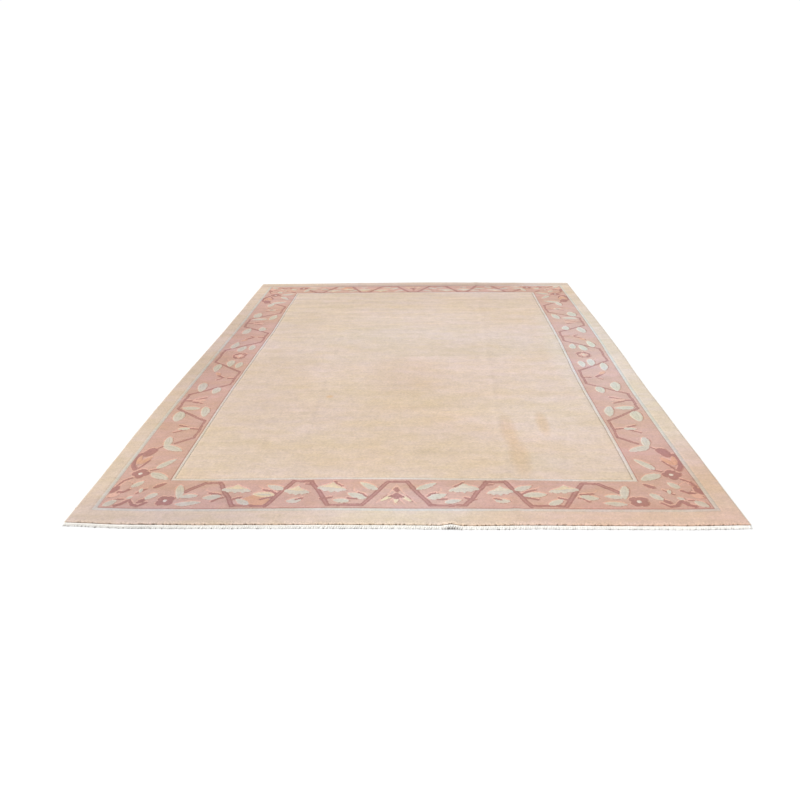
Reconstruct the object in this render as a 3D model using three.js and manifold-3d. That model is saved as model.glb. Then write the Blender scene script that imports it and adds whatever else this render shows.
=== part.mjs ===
// A hand-knotted wool rug lying flat, with a carved floral border, overcast side cords and a
// short cotton fringe at both ends. Millimetres, +Z up, near end at -Y, origin at the centre of
// the underside.
import * as THREE from 'three';
import Module from 'manifold-3d';

const wasm = await Module();
wasm.setup();

// Rug, before its unevenness is added
const WIDTH = 2520; // over the side cords
const LENGTH = 3516; // of the pile
const THICKNESS = 12;
const SHOULDER = { width: 4, drop: 4 }; // the clipped pile's rounded edge
const GAP = 0.3; // between sewn pieces

// Side cords and fringe
const CORD = { across: 7, sides: 8 };
const HEADING = { width: 8, thick: 4 };
const STRAND = { count: 100, reach: 12, shortest: 0.7, root: 15, tip: 9, rootHigh: 3.5, tipHigh: 2.5 };
const STRAND_ROOT_INSIDE = 4;
const STRAND_WANDER = 2.4; // radians from one strand's length to the next one's
const FRINGE_FROM_SIDE = 1;

// The near edge's one small lifted fold; rows are its steps inward from the edge
const FOLD = { x: 188, halfWidth: 46, inward: 75, rise: 7, steps: 3, rows: [20, 40, 58] };

// Border bands, measured inward from the edge of the pile
const GROUND = { fromSide: 93, fromEnd: 105, sideWidth: 232, endWidth: 205 };
const STRIPE = { outer: 17, inner: 14 }; // plain stripes along both edges of the ground
const GROOVE = { width: 5, depth: 2.5, mitre: 2.2 };
const VINE_WIDTH = 20;
const LOBE_WAIST = 0.6; // how far a lobed figure reaches between its lobes
const LEAF_STEPS = 2; // chords along each edge of a leaf
const STATION = 125; // step along the uneven outline
const STRIPE_STATIONS = 6;

// How far each side's lines lie outside (+) or inside (-) the straight design, at even steps from
// the near end or from the left side. inner and outer are the middles of the ground's stripes.
const DRIFT = {
  left: {
    inner: [9, 11, 13, 12, 12, 10, 4, -1, -8, -15, -14, -12, -15, -15, -16],
    outer: [-6, -3, 0, 3, 4, 3, 1, -2, -4, -8, -10, -8, -8, -7, -7],
    edge: [-11, -8, -3, 4, 6, 7, 5, 1, -2, -5, -4, -5, -2, -1, -1],
  },
  right: {
    inner: [8, 8, 8, 6, 0, -4, -4, 1, 5, 5, 3, 0, -1, -2, -3],
    outer: [6, 4, 0, -3, -4, -5, -1, 4, 10, 11, 11, 8, 5, 1, -3],
    edge: [7, 5, 4, 1, 1, -2, -1, 5, 5, 4, 2, -2, -6, -8, -11],
  },
  near: {
    inner: [1, 9, 9, 1, -5, -5, 0, 1, 7, 7, 0],
    outer: [8, 17, 17, 12, 5, 8, 6, 6, 7, 6, -3],
    edge: [-5, 7, 8, 5, 1, 1, 4, -2, -1, -2, -10],
  },
  far: {
    inner: [-3, 0, 2, 5, 6, 6, 5, -2, -10, -20, -30],
    outer: [-11, -7, -5, -2, -1, 0, -2, -7, -17, -28, -38],
    edge: [-9, -7, -4, 5, 7, 8, 4, -9, -20, -31, -40],
  },
};

// Border design. along = distance from the border's middle, in = distance from the ground's
// outer edge; both halves of a border mirror each other.
const END_VINE = [
  { along: 37, in: 186 },
  { along: 130, in: 20 },
  { along: 262, in: 21 },
  { along: 349, in: 191 },
  { along: 421, in: 190 },
  { along: 502, in: 18 },
  { along: 630, in: 19 },
  { along: 720, in: 185 },
  { along: 782, in: 183 },
  { along: 844, in: 120 },
];
const SIDE_VINE = [
  { along: 105, in: 25 },
  { along: 256, in: 211 },
  { along: 443, in: 209 },
  { along: 581, in: 25 },
  { along: 758, in: 24 },
  { along: 896, in: 208 },
  { along: 1071, in: 211 },
  { along: 1127, in: 137 },
];
const END_LEAVES = [
  { along: 75, in: 130, toAlong: 152, toIn: 178, wide: 26 },
  { along: 118, in: 68, toAlong: 191, toIn: 102, wide: 28 },
  { along: 186, in: 44, toAlong: 245, toIn: 54, wide: 22 },
  { along: 371, in: 49, toAlong: 424, toIn: 52, wide: 24 },
  { along: 453, in: 130, toAlong: 521, toIn: 163, wide: 26 },
  { along: 482, in: 92, toAlong: 570, toIn: 102, wide: 30 },
  { along: 570, in: 27, toAlong: 623, toIn: 64, wide: 24 },
  { along: 696, in: 87, toAlong: 759, toIn: 78, wide: 26 },
  { along: 793, in: 35, toAlong: 851, toIn: 37, wide: 24 },
  { along: 875, in: 164, toAlong: 855, toIn: 77, wide: 26 },
  { along: 845, in: 84, toAlong: 783, toIn: 84, wide: 22 },
];
const SIDE_LEAVES = [
  { along: 78, in: 122, toAlong: 178, toIn: 122, wide: 38 },
  { along: 108, in: 178, toAlong: 198, toIn: 178, wide: 30 },
  { along: 138, in: 63, toAlong: 258, toIn: 63, wide: 34 },
  { along: 428, in: 65, toAlong: 538, toIn: 65, wide: 42 },
  { along: 488, in: 157, toAlong: 568, toIn: 157, wide: 34 },
  { along: 753, in: 49, toAlong: 753, toIn: 135, wide: 34 },
  { along: 748, in: 178, toAlong: 838, toIn: 178, wide: 38 },
  { along: 808, in: 59, toAlong: 908, toIn: 59, wide: 46 },
  { along: 353, in: 163, toAlong: 353, toIn: 98, wide: 26 },
  { along: 658, in: 70, toAlong: 658, toIn: 135, wide: 26 },
  { along: 983, in: 157, toAlong: 983, toIn: 98, wide: 26 },
  { along: 1068, in: 97, toAlong: 1150, toIn: 97, wide: 26 },
  { along: 1176, in: 100, toAlong: 1198, toIn: 187, wide: 24 },
];
// Broad leaves with a pointed lobe towards the field
const WINGED_LEAVES = [
  { along: 259, in: 130, wide: 108, high: 60 },
  { along: 397, in: 109, wide: 84, high: 66 },
  { along: 642, in: 128, wide: 108, high: 54 },
];
const END_FLOWER = { along: 902, in: 54, wide: 56, high: 58 };
const END_STAR = { along: 0, in: 81, wide: 110, high: 60 };
const END_RING = { along: 0, in: 128, wide: 28, high: 28 };
const SIDE_MEDALLION = { along: 0, in: 140, wide: 90, high: 76 };

// Corner design. side = distance from the side ground's outer edge, end = from the end's; each
// leaf and flower is mirrored across the corner's diagonal.
const CORNER_LEAVES = [
  { side: 135, end: 305, toSide: 195, toEnd: 385, wide: 30 },
  { side: 124, end: 270, toSide: 204, toEnd: 225, wide: 30 },
  { side: 74, end: 150, toSide: 119, toEnd: 212, wide: 28 },
];
const DIAGONAL_LEAVES = [
  { side: 155, end: 150, toSide: 205, toEnd: 200, wide: 34 },
  { side: 29, end: 24, toSide: 75, toEnd: 70, wide: 30 },
];
const CORNER_FLOWER = { side: 79, end: 266, across: 70 };
const CORNER_BUD = { side: 44, end: 445, across: 56 };

// Where the middle of each border's design lies beside the rug's middle
const DESIGN_SHIFT = { near: -18, far: -3, side: 19 };

const HALF_WIDTH = WIDTH / 2;
const HALF_LENGTH = LENGTH / 2;
const BODY_HALF_WIDTH = HALF_WIDTH - CORD.across - GAP;
const OUTER_X = HALF_WIDTH - GROUND.fromSide;
const OUTER_Y = HALF_LENGTH - GROUND.fromEnd;

// Distances from the rug's middle of the lines that drift
const LINES_X = {
  inner: OUTER_X - GROUND.sideWidth - STRIPE.inner / 2,
  outer: OUTER_X + STRIPE.outer / 2,
  edge: HALF_WIDTH,
};
const LINES_Y = {
  inner: OUTER_Y - GROUND.endWidth - STRIPE.inner / 2,
  outer: OUTER_Y + STRIPE.outer / 2,
  edge: HALF_LENGTH,
};

// A line's drift, eased between its steps; place runs from -1 to 1 along the side
function drift(values, place) {
  const last = values.length - 1;
  const at = THREE.MathUtils.clamp(((place + 1) / 2) * last, 0, last);
  const row = Math.min(Math.floor(at), last - 1);
  const ease = THREE.MathUtils.smoothstep(at - row, 0, 1);
  return THREE.MathUtils.lerp(values[row], values[row + 1], ease);
}

// A distance from the rug's middle, moved by the drift of the lines on both sides of it
function drifted(reach, lines, side, place) {
  const stops = [0, lines.inner, lines.outer, lines.edge];
  const moves = [0, ...[side.inner, side.outer, side.edge].map((values) => drift(values, place))];
  const next = reach < lines.edge ? stops.findIndex((stop) => reach < stop) : stops.length - 1;
  const { mapLinear } = THREE.MathUtils;
  return reach + mapLinear(reach, stops[next - 1], stops[next], moves[next - 1], moves[next]);
}

// Moves a point of the straight design onto the uneven rug
function uneven(x, y) {
  const side = x < 0 ? DRIFT.left : DRIFT.right;
  const end = y < 0 ? DRIFT.near : DRIFT.far;
  return new THREE.Vector2(
    Math.sign(x) * drifted(Math.abs(x), LINES_X, side, y / HALF_LENGTH),
    Math.sign(y) * drifted(Math.abs(y), LINES_Y, end, x / HALF_WIDTH),
  );
}

// Height of the lifted fold's underside over the floor
function lift(x, inward) {
  const across = THREE.MathUtils.clamp((x - FOLD.x) / FOLD.halfWidth, -1, 1);
  const depth = THREE.MathUtils.clamp(inward / FOLD.inward, 0, 1);
  return FOLD.rise * Math.cos((across * Math.PI) / 2) ** 2 * Math.cos((depth * Math.PI) / 2) ** 2;
}

function evenStations(from, to, step) {
  const count = Math.round((to - from) / step);
  return Array.from({ length: count + 1 }, (_, i) => THREE.MathUtils.lerp(from, to, i / count));
}

// Stations across an end, closer together at the lifted fold
function endStations() {
  const fold = evenStations(-1, 1, 1 / FOLD.steps).map((k) => FOLD.x + k * FOLD.halfWidth);
  return [...evenStations(-BODY_HALF_WIDTH, BODY_HALF_WIDTH, STATION), ...fold].sort((a, b) => a - b);
}

function sideStations() {
  return evenStations(-HALF_LENGTH, HALF_LENGTH, STATION);
}

function closedGeometry(vertices, triangles) {
  const geometry = new THREE.BufferGeometry();
  geometry.setAttribute('position', new THREE.Float32BufferAttribute(vertices.flat(), 3));
  geometry.setIndex(triangles.flat());
  return geometry;
}

function toSolid(geometry) {
  return new wasm.Manifold(
    new wasm.Mesh({
      numProp: 3,
      vertProperties: geometry.attributes.position.array,
      triVerts: new Uint32Array(geometry.index.array),
    }),
  );
}

function toGeometry(solid) {
  const { vertProperties, triVerts } = solid.getMesh();
  const geometry = new THREE.BufferGeometry();
  geometry.setAttribute('position', new THREE.Float32BufferAttribute(vertProperties, 3));
  geometry.setIndex(new THREE.Uint32BufferAttribute(triVerts, 1));
  return geometry;
}

// Direction across the path at each of its points, lengthened at corners
function mitres(path, closed) {
  const count = path.length;
  return path.map((point, i) => {
    const before = path[closed ? (i + count - 1) % count : Math.max(i - 1, 0)];
    const after = path[closed ? (i + 1) % count : Math.min(i + 1, count - 1)];
    const incoming = point.clone().sub(before).normalize();
    const outgoing = after.clone().sub(point).normalize();
    if (incoming.lengthSq() === 0) incoming.copy(outgoing);
    if (outgoing.lengthSq() === 0) outgoing.copy(incoming);
    const across = new THREE.Vector2(-incoming.y - outgoing.y, incoming.x + outgoing.x).normalize();
    const stretch = Math.abs(across.dot(new THREE.Vector2(-incoming.y, incoming.x)));
    return across.multiplyScalar(Math.min(1 / stretch, GROOVE.mitre));
  });
}

// Runs a section of (across, up) points along a flat path; heightAt raises it at each point
function sweep(path, section, closed, heightAt = () => 0) {
  const across = mitres(path, closed);
  const vertices = [];
  const triangles = [];
  path.forEach((point, i) => {
    section.forEach(([s, z]) => {
      vertices.push([point.x + across[i].x * s, point.y + across[i].y * s, z + heightAt(point)]);
    });
  });
  const size = section.length;
  const spans = closed ? path.length : path.length - 1;
  for (let i = 0; i < spans; i += 1) {
    const here = i * size;
    const next = ((i + 1) % path.length) * size;
    for (let k = 0; k < size; k += 1) {
      const side = (k + 1) % size;
      triangles.push([here + k, next + side, next + k], [here + k, here + side, next + side]);
    }
  }
  if (!closed) {
    const end = (path.length - 1) * size;
    for (let k = 1; k < size - 1; k += 1) {
      triangles.push([0, k + 1, k], [end, end + k, end + k + 1]);
    }
  }
  return closedGeometry(vertices, triangles);
}

// Joins equal rings of points and closes the first and the last with the triangles of cap
function loft(rings, cap) {
  const size = rings[0].length;
  const triangles = [];
  for (let r = 0; r < rings.length - 1; r += 1) {
    for (let k = 0; k < size; k += 1) {
      const side = (k + 1) % size;
      const low = r * size;
      const high = low + size;
      triangles.push([low + k, low + side, high + side], [low + k, high + side, high + k]);
    }
  }
  const last = (rings.length - 1) * size;
  cap(rings[0]).forEach(([a, b, c]) => triangles.push([c, b, a]));
  cap(rings[rings.length - 1]).forEach(([a, b, c]) => triangles.push([last + a, last + b, last + c]));
  return closedGeometry(rings.flat(), triangles);
}

// A block over a grid of places; spot(i, j) gives x, y, and its lowest and highest z
function gridBlock(columns, rows, spot) {
  const vertices = [];
  const triangles = [];
  const low = (i, j) => 2 * (i * rows + j);
  const high = (i, j) => low(i, j) + 1;
  const quad = (a, b, c, d) => triangles.push([a, b, c], [a, c, d]);
  for (let i = 0; i < columns; i += 1) {
    for (let j = 0; j < rows; j += 1) {
      const { x, y, bottom, top } = spot(i, j);
      vertices.push([x, y, bottom], [x, y, top]);
    }
  }
  for (let i = 0; i < columns - 1; i += 1) {
    for (let j = 0; j < rows - 1; j += 1) {
      quad(high(i, j), high(i + 1, j), high(i + 1, j + 1), high(i, j + 1));
      quad(low(i, j), low(i, j + 1), low(i + 1, j + 1), low(i + 1, j));
    }
    quad(low(i, 0), low(i + 1, 0), high(i + 1, 0), high(i, 0));
    quad(high(i, rows - 1), high(i + 1, rows - 1), low(i + 1, rows - 1), low(i, rows - 1));
  }
  for (let j = 0; j < rows - 1; j += 1) {
    quad(high(0, j), high(0, j + 1), low(0, j + 1), low(0, j));
    const last = columns - 1;
    quad(low(last, j), low(last, j + 1), high(last, j + 1), high(last, j));
  }
  return closedGeometry(vertices, triangles);
}

// The pile's outline, drawn in by inset, counter-clockwise from the near left corner
function outlineRing(inset, z) {
  const wide = (BODY_HALF_WIDTH - inset) / BODY_HALF_WIDTH;
  const long = (HALF_LENGTH - inset) / HALF_LENGTH;
  const across = endStations();
  const along = sideStations();
  const corners = [
    ...across.slice(0, -1).map((x) => [x, -HALF_LENGTH]),
    ...along.slice(0, -1).map((y) => [BODY_HALF_WIDTH, y]),
    ...across.slice(1).reverse().map((x) => [x, HALF_LENGTH]),
    ...along.slice(1).reverse().map((y) => [-BODY_HALF_WIDTH, y]),
  ];
  return corners.map(([x, y]) => {
    const point = uneven(x, y);
    return [point.x * wide, point.y * long, z];
  });
}

function flatRug() {
  const shoulder = THICKNESS - SHOULDER.drop;
  const rings = [outlineRing(0, 0), outlineRing(0, shoulder), outlineRing(SHOULDER.width, THICKNESS)];
  const cap = (ring) => {
    const flat = ring.map(([x, y]) => new THREE.Vector2(x, y));
    return THREE.ShapeUtils.triangulateShape(flat, []);
  };
  return toSolid(loft(rings, cap));
}

// The fold is a low bump over the rug and a hollow of the same form under it
function addFold(rug) {
  const slack = 0.1;
  const inwardRows = [0, SHOULDER.width, ...FOLD.rows, FOLD.inward];
  const acrossColumns = evenStations(-1, 1, 1 / FOLD.steps).map((k) => FOLD.x + k * FOLD.halfWidth);
  const place = (i, inward) => {
    const edge = uneven(acrossColumns[i], -HALF_LENGTH);
    return { x: edge.x, y: edge.y + inward, rise: lift(acrossColumns[i], Math.max(inward, 0)) };
  };
  const bump = gridBlock(acrossColumns.length, inwardRows.length, (i, j) => {
    const { x, y, rise } = place(i, inwardRows[j]);
    const shoulder = j === 0 ? SHOULDER.drop : 0;
    return { x, y, bottom: THICKNESS / 2, top: THICKNESS - shoulder - slack + rise };
  });
  const hollowRows = [-1, ...inwardRows.slice(1)];
  const hollow = gridBlock(acrossColumns.length, hollowRows.length, (i, j) => {
    const { x, y, rise } = place(i, hollowRows[j]);
    return { x, y, bottom: -1, top: rise - slack };
  });
  return rug.add(toSolid(bump)).subtract(toSolid(hollow));
}

// Carving: a V cut along a closed line of the design
function carve(path) {
  const section = [
    [GROOVE.width / 2, THICKNESS],
    [-GROOVE.width / 2, THICKNESS],
    [0, THICKNESS - GROOVE.depth],
  ];
  return toSolid(sweep(path, section, true));
}

// Outlines of the design's figures, around (0, 0)
function leafOutline(from, to, wide) {
  const along = to.clone().sub(from);
  const across = new THREE.Vector2(-along.y, along.x).normalize().multiplyScalar(wide);
  const middle = from.clone().add(to).multiplyScalar(0.5);
  const left = middle.clone().add(across);
  const right = middle.clone().sub(across);
  const shape = new THREE.Shape();
  shape.moveTo(from.x, from.y);
  shape.quadraticCurveTo(right.x, right.y, to.x, to.y);
  shape.quadraticCurveTo(left.x, left.y, from.x, from.y);
  return shape.getPoints(LEAF_STEPS).slice(0, -1);
}

function lobedOutline(lobes, wide, high, waist) {
  return Array.from({ length: 2 * lobes }, (_, k) => {
    const angle = (k * Math.PI) / lobes;
    const reach = k % 2 === 0 ? 1 : waist;
    return new THREE.Vector2((Math.cos(angle) * reach * wide) / 2, (Math.sin(angle) * reach * high) / 2);
  });
}

function wingedOutline(wide, high) {
  const half = wide / 2;
  const corners = [
    [-half, 0],
    [-0.2 * half, -0.4 * high],
    [0.2 * half, -0.4 * high],
    [half, 0],
    [0.35 * half, 0.3 * high],
    [0, high],
    [-0.35 * half, 0.3 * high],
  ];
  return corners.map(([x, y]) => new THREE.Vector2(x, y));
}

// Outline of a line of even width
function ribbonOutline(path, width) {
  const across = mitres(path, false);
  const left = path.map((point, i) => point.clone().addScaledVector(across[i], width / 2));
  const right = path.map((point, i) => point.clone().addScaledVector(across[i], -width / 2));
  return [...left, ...right.reverse()];
}

const point = (x, y) => new THREE.Vector2(x, y);
const moved = (outline, x, y) => outline.map((p) => point(p.x + x, p.y + y));

// A border's figures in (along, in) coordinates, with its second half mirrored
function borderFigures(vine, leaves, middle, singles) {
  const half = leaves.map((leaf) => {
    return leafOutline(point(leaf.along, leaf.in), point(leaf.toAlong, leaf.toIn), leaf.wide);
  });
  const both = [...half, ...singles].flatMap((outline) => [outline, outline.map((p) => point(-p.x, p.y))]);
  const reach = vine.map((row) => point(row.along, row.in));
  const whole = [...reach.map((p) => point(-p.x, p.y)).reverse(), ...reach];
  return [ribbonOutline(whole, VINE_WIDTH), ...middle, ...both];
}

function endFigures() {
  const winged = WINGED_LEAVES.map((leaf) => {
    return moved(wingedOutline(leaf.wide, leaf.high), leaf.along, leaf.in);
  });
  const flower = lobedOutline(4, END_FLOWER.wide, END_FLOWER.high, LOBE_WAIST);
  const middle = [
    moved(lobedOutline(3, END_STAR.wide, -END_STAR.high, LOBE_WAIST), END_STAR.along, END_STAR.in),
    moved(lobedOutline(3, END_RING.wide, END_RING.high, 1), END_RING.along, END_RING.in),
  ];
  const singles = [...winged, moved(flower, END_FLOWER.along, END_FLOWER.in)];
  return borderFigures(END_VINE, END_LEAVES, middle, singles);
}

function sideFigures() {
  const { along, in: inward, wide, high } = SIDE_MEDALLION;
  const medallion = moved(lobedOutline(4, wide, high, LOBE_WAIST), along, inward);
  return borderFigures(SIDE_VINE, SIDE_LEAVES, [medallion], []);
}

// A corner's figures in (side, end) coordinates
function cornerFigures() {
  const leaf = (row) => leafOutline(point(row.side, row.end), point(row.toSide, row.toEnd), row.wide);
  const swapped = (outline) => outline.map((p) => point(p.y, p.x));
  const flower = lobedOutline(4, CORNER_FLOWER.across, CORNER_FLOWER.across, LOBE_WAIST);
  const placed = [...CORNER_LEAVES.map(leaf), moved(flower, CORNER_FLOWER.side, CORNER_FLOWER.end)];
  const bud = lobedOutline(2, CORNER_BUD.across, CORNER_BUD.across, 0.8);
  return [
    ...placed,
    ...placed.map(swapped),
    ...DIAGONAL_LEAVES.map(leaf),
    moved(bud, CORNER_BUD.side, CORNER_BUD.end),
  ];
}

// A distance along a border whose design has its middle at shift
function shifted(along, shift, reach) {
  return shift + along - (Math.abs(along) * shift) / reach;
}

// Every carved line on the rug, as closed paths
function carvedLines() {
  const lines = [];
  const put = (figures, place) => {
    figures.forEach((outline) => lines.push(outline.map((p) => uneven(...place(p)))));
  };
  [-1, 1].forEach((end) => {
    const shift = end < 0 ? DESIGN_SHIFT.near : DESIGN_SHIFT.far;
    put(endFigures(), (p) => [shifted(p.x, shift, OUTER_X), end * (OUTER_Y - p.y)]);
  });
  [-1, 1].forEach((side) => {
    put(sideFigures(), (p) => [side * (OUTER_X - p.y), shifted(p.x, DESIGN_SHIFT.side, OUTER_Y)]);
    [-1, 1].forEach((end) => {
      put(cornerFigures(), (p) => [side * (OUTER_X - p.x), end * (OUTER_Y - p.y)]);
    });
  });
  const edges = [
    [-STRIPE.outer, -STRIPE.outer],
    [0, 0],
    [GROUND.sideWidth, GROUND.endWidth],
    [GROUND.sideWidth + STRIPE.inner, GROUND.endWidth + STRIPE.inner],
  ];
  const loops = edges.map(([fromSide, fromEnd]) => stripeLoop(OUTER_X - fromSide, OUTER_Y - fromEnd));
  return [...lines, ...loops];
}

// A rectangle with stations along its sides, so that it drifts with the rug
function stripeLoop(x, y) {
  const across = evenStations(-x, x, (2 * x) / STRIPE_STATIONS);
  const along = evenStations(-y, y, (2 * y) / STRIPE_STATIONS);
  return [
    ...across.slice(0, -1).map((at) => uneven(at, -y)),
    ...along.slice(0, -1).map((at) => uneven(x, at)),
    ...across.slice(1).reverse().map((at) => uneven(at, y)),
    ...along.slice(1).reverse().map((at) => uneven(-x, at)),
  ];
}

function rugGeometry() {
  const cuts = wasm.Manifold.union(carvedLines().map(carve));
  return toGeometry(addFold(flatRug().subtract(cuts)));
}

// A cord that follows one side, with a flat underside
function cordGeometry(side) {
  const path = sideStations().map((y) => {
    const edge = uneven(side * BODY_HALF_WIDTH, y);
    return point(edge.x + side * (GAP + CORD.across / 2), edge.y);
  });
  const radius = CORD.across / 2 / Math.cos(Math.PI / CORD.sides);
  const section = Array.from({ length: CORD.sides }, (_, k) => {
    const angle = ((2 * k + 1) * Math.PI) / CORD.sides;
    return [Math.cos(angle) * radius, Math.sin(angle) * radius + CORD.across / 2];
  });
  return sweep(path, section, false);
}

// One knotted warp end: three-sided, tapering, its underside on the floor
function strandGeometry(x, end, reach) {
  const edge = uneven(x, end * HALF_LENGTH);
  const from = GAP + HEADING.width - STRAND_ROOT_INSIDE;
  const to = GAP + HEADING.width + reach;
  const rise = end < 0 ? lift(x, 0) : 0;
  const triangle = (out, width, high, z) => [
    [edge.x - width / 2, edge.y + end * out, z],
    [edge.x + width / 2, edge.y + end * out, z],
    [edge.x, edge.y + end * out, z + high],
  ];
  const root = triangle(from, STRAND.root, STRAND.rootHigh, rise);
  const tip = triangle(to, STRAND.tip, STRAND.tipHigh, 0);
  return loft(end < 0 ? [root, tip] : [tip, root], () => [[0, 1, 2]]);
}

function fringeGeometry(end) {
  const reachX = HALF_WIDTH - FRINGE_FROM_SIDE;
  const stations = [-reachX, ...endStations(), reachX];
  const path = stations.map((x) => {
    const edge = uneven(x, end * HALF_LENGTH);
    return point(edge.x, edge.y + end * (GAP + HEADING.width / 2));
  });
  const half = HEADING.width / 2;
  const section = [
    [half, 0],
    [half, HEADING.thick],
    [-half, HEADING.thick],
    [-half, 0],
  ];
  const riseAt = (place) => (end < 0 ? lift(place.x, 0) : 0);
  const heading = toSolid(sweep(path, section, false, riseAt));
  const pitch = (2 * reachX - STRAND.root) / (STRAND.count - 1);
  const strands = Array.from({ length: STRAND.count }, (_, k) => {
    const wander = (1 + Math.sin(STRAND_WANDER * k)) / 2;
    const reach = STRAND.reach * THREE.MathUtils.lerp(STRAND.shortest, 1, wander);
    return toSolid(strandGeometry(-reachX + STRAND.root / 2 + k * pitch, end, reach));
  });
  return toGeometry(wasm.Manifold.union([heading, ...strands]));
}

const wool = new THREE.MeshStandardMaterial({ color: 0xe0cab8, roughness: 1, metalness: 0 });
const overcasting = new THREE.MeshStandardMaterial({ color: 0xd9c6b0, roughness: 1, metalness: 0 });
const cotton = new THREE.MeshStandardMaterial({ color: 0xf3efe6, roughness: 1, metalness: 0 });

function namedMesh(name, geometry, material) {
  const mesh = new THREE.Mesh(geometry, material);
  mesh.name = name;
  return mesh;
}

const group = new THREE.Group();
group.add(
  namedMesh('rug', rugGeometry(), wool),
  namedMesh('selvedge_left', cordGeometry(-1), overcasting),
  namedMesh('selvedge_right', cordGeometry(1), overcasting),
  namedMesh('fringe_near', fringeGeometry(-1), cotton),
  namedMesh('fringe_far', fringeGeometry(1), cotton),
);

export default group;
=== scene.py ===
"""A hand-knotted wool rug lying flat: cream field, dusty pink floral border, short cotton fringe.

Sizes in the tables are millimetres; everything that Blender gets is in metres.
"""

import math
from collections import namedtuple

import bpy
import numpy as np
from mathutils import Matrix, Vector
from mathutils.geometry import delaunay_2d_cdt


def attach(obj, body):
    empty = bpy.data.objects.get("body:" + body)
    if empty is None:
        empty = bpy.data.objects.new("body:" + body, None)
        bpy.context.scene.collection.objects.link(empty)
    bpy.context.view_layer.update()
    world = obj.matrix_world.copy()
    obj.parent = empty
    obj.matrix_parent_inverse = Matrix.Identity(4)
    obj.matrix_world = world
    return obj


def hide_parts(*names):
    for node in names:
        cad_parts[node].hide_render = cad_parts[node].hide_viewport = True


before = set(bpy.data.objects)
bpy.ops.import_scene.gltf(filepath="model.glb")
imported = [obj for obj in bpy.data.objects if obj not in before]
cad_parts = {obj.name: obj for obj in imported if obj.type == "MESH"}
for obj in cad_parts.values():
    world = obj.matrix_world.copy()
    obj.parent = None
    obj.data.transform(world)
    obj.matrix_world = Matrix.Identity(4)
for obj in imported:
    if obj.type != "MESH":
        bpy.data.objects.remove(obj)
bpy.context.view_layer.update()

MM = 0.001

# The rug before its unevenness
WIDTH = 2520
LENGTH = 3516
THICKNESS = 12
CORD = 7
GAP = 0.3
HALF_WIDTH = WIDTH / 2
HALF_LENGTH = LENGTH / 2
BODY_HALF_WIDTH = HALF_WIDTH - CORD - GAP

# How far each side's lines lie outside (+) or inside (-) the straight design, at even steps from
# the near end or from the left side. inner and outer are the middles of the ground's stripes.
LEFT = {
    "inner": (9, 11, 13, 12, 12, 10, 4, -1, -8, -15, -14, -12, -15, -15, -16),
    "outer": (-6, -3, 0, 3, 4, 3, 1, -2, -4, -8, -10, -8, -8, -7, -7),
    "edge": (-11, -8, -3, 4, 6, 7, 5, 1, -2, -5, -4, -5, -2, -1, -1),
}
RIGHT = {
    "inner": (8, 8, 8, 6, 0, -4, -4, 1, 5, 5, 3, 0, -1, -2, -3),
    "outer": (6, 4, 0, -3, -4, -5, -1, 4, 10, 11, 11, 8, 5, 1, -3),
    "edge": (7, 5, 4, 1, 1, -2, -1, 5, 5, 4, 2, -2, -6, -8, -11),
}
NEAR = {
    "inner": (1, 9, 9, 1, -5, -5, 0, 1, 7, 7, 0),
    "outer": (8, 17, 17, 12, 5, 8, 6, 6, 7, 6, -3),
    "edge": (-5, 7, 8, 5, 1, 1, 4, -2, -1, -2, -10),
}
FAR = {
    "inner": (-3, 0, 2, 5, 6, 6, 5, -2, -10, -20, -30),
    "outer": (-11, -7, -5, -2, -1, 0, -2, -7, -17, -28, -38),
    "edge": (-9, -7, -4, 5, 7, 8, 4, -9, -20, -31, -40),
}

# The near edge's small lifted fold
FOLD_X = 188
FOLD_HALF_WIDTH = 46
FOLD_INWARD = 75
FOLD_RISE = 7

# Border bands, inward from the pile's edge
GROUND_FROM_SIDE = 93
GROUND_FROM_END = 105
SIDE_GROUND = 232
END_GROUND = 205
STRIPE_OUTER = 17
STRIPE_INNER = 14
OUTER_X = HALF_WIDTH - GROUND_FROM_SIDE
OUTER_Y = HALF_LENGTH - GROUND_FROM_END
FIELD_X = OUTER_X - SIDE_GROUND - STRIPE_INNER
FIELD_Y = OUTER_Y - END_GROUND - STRIPE_INNER
LINES_X = {
    "inner": FIELD_X + STRIPE_INNER / 2,
    "outer": OUTER_X + STRIPE_OUTER / 2,
    "edge": HALF_WIDTH,
}
LINES_Y = {
    "inner": FIELD_Y + STRIPE_INNER / 2,
    "outer": OUTER_Y + STRIPE_OUTER / 2,
    "edge": HALF_LENGTH,
}

# Where the middle of each border's design lies beside the rug's middle
SHIFT_NEAR = -18
SHIFT_FAR = -3
SHIFT_SIDE = 19

# Pitch of the modelled knots in the border, and of the field's coarser grid
KNOT = 10 / 3
FIELD_CELL = 10
# Carving along the figures, their outlines and the painted highlight on their lit rims, and the line
# along the ground's edges
CARVE_DEPTH = 1.9
CARVE_REACH = 4.2
HALO = 5.0
RIM = 5.0
LINE = 3.4

# Camera

CAMERA_PLACE = Vector((0.0990, -3.9071, 1.4469))
CAMERA_PITCH_DOWN = math.radians(23.742)
CAMERA_YAW = math.radians(-2.351)
CAMERA_ROLL = math.radians(-1.027)
CAMERA_LENS = 31.42
CAMERA_SENSOR = 36


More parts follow.
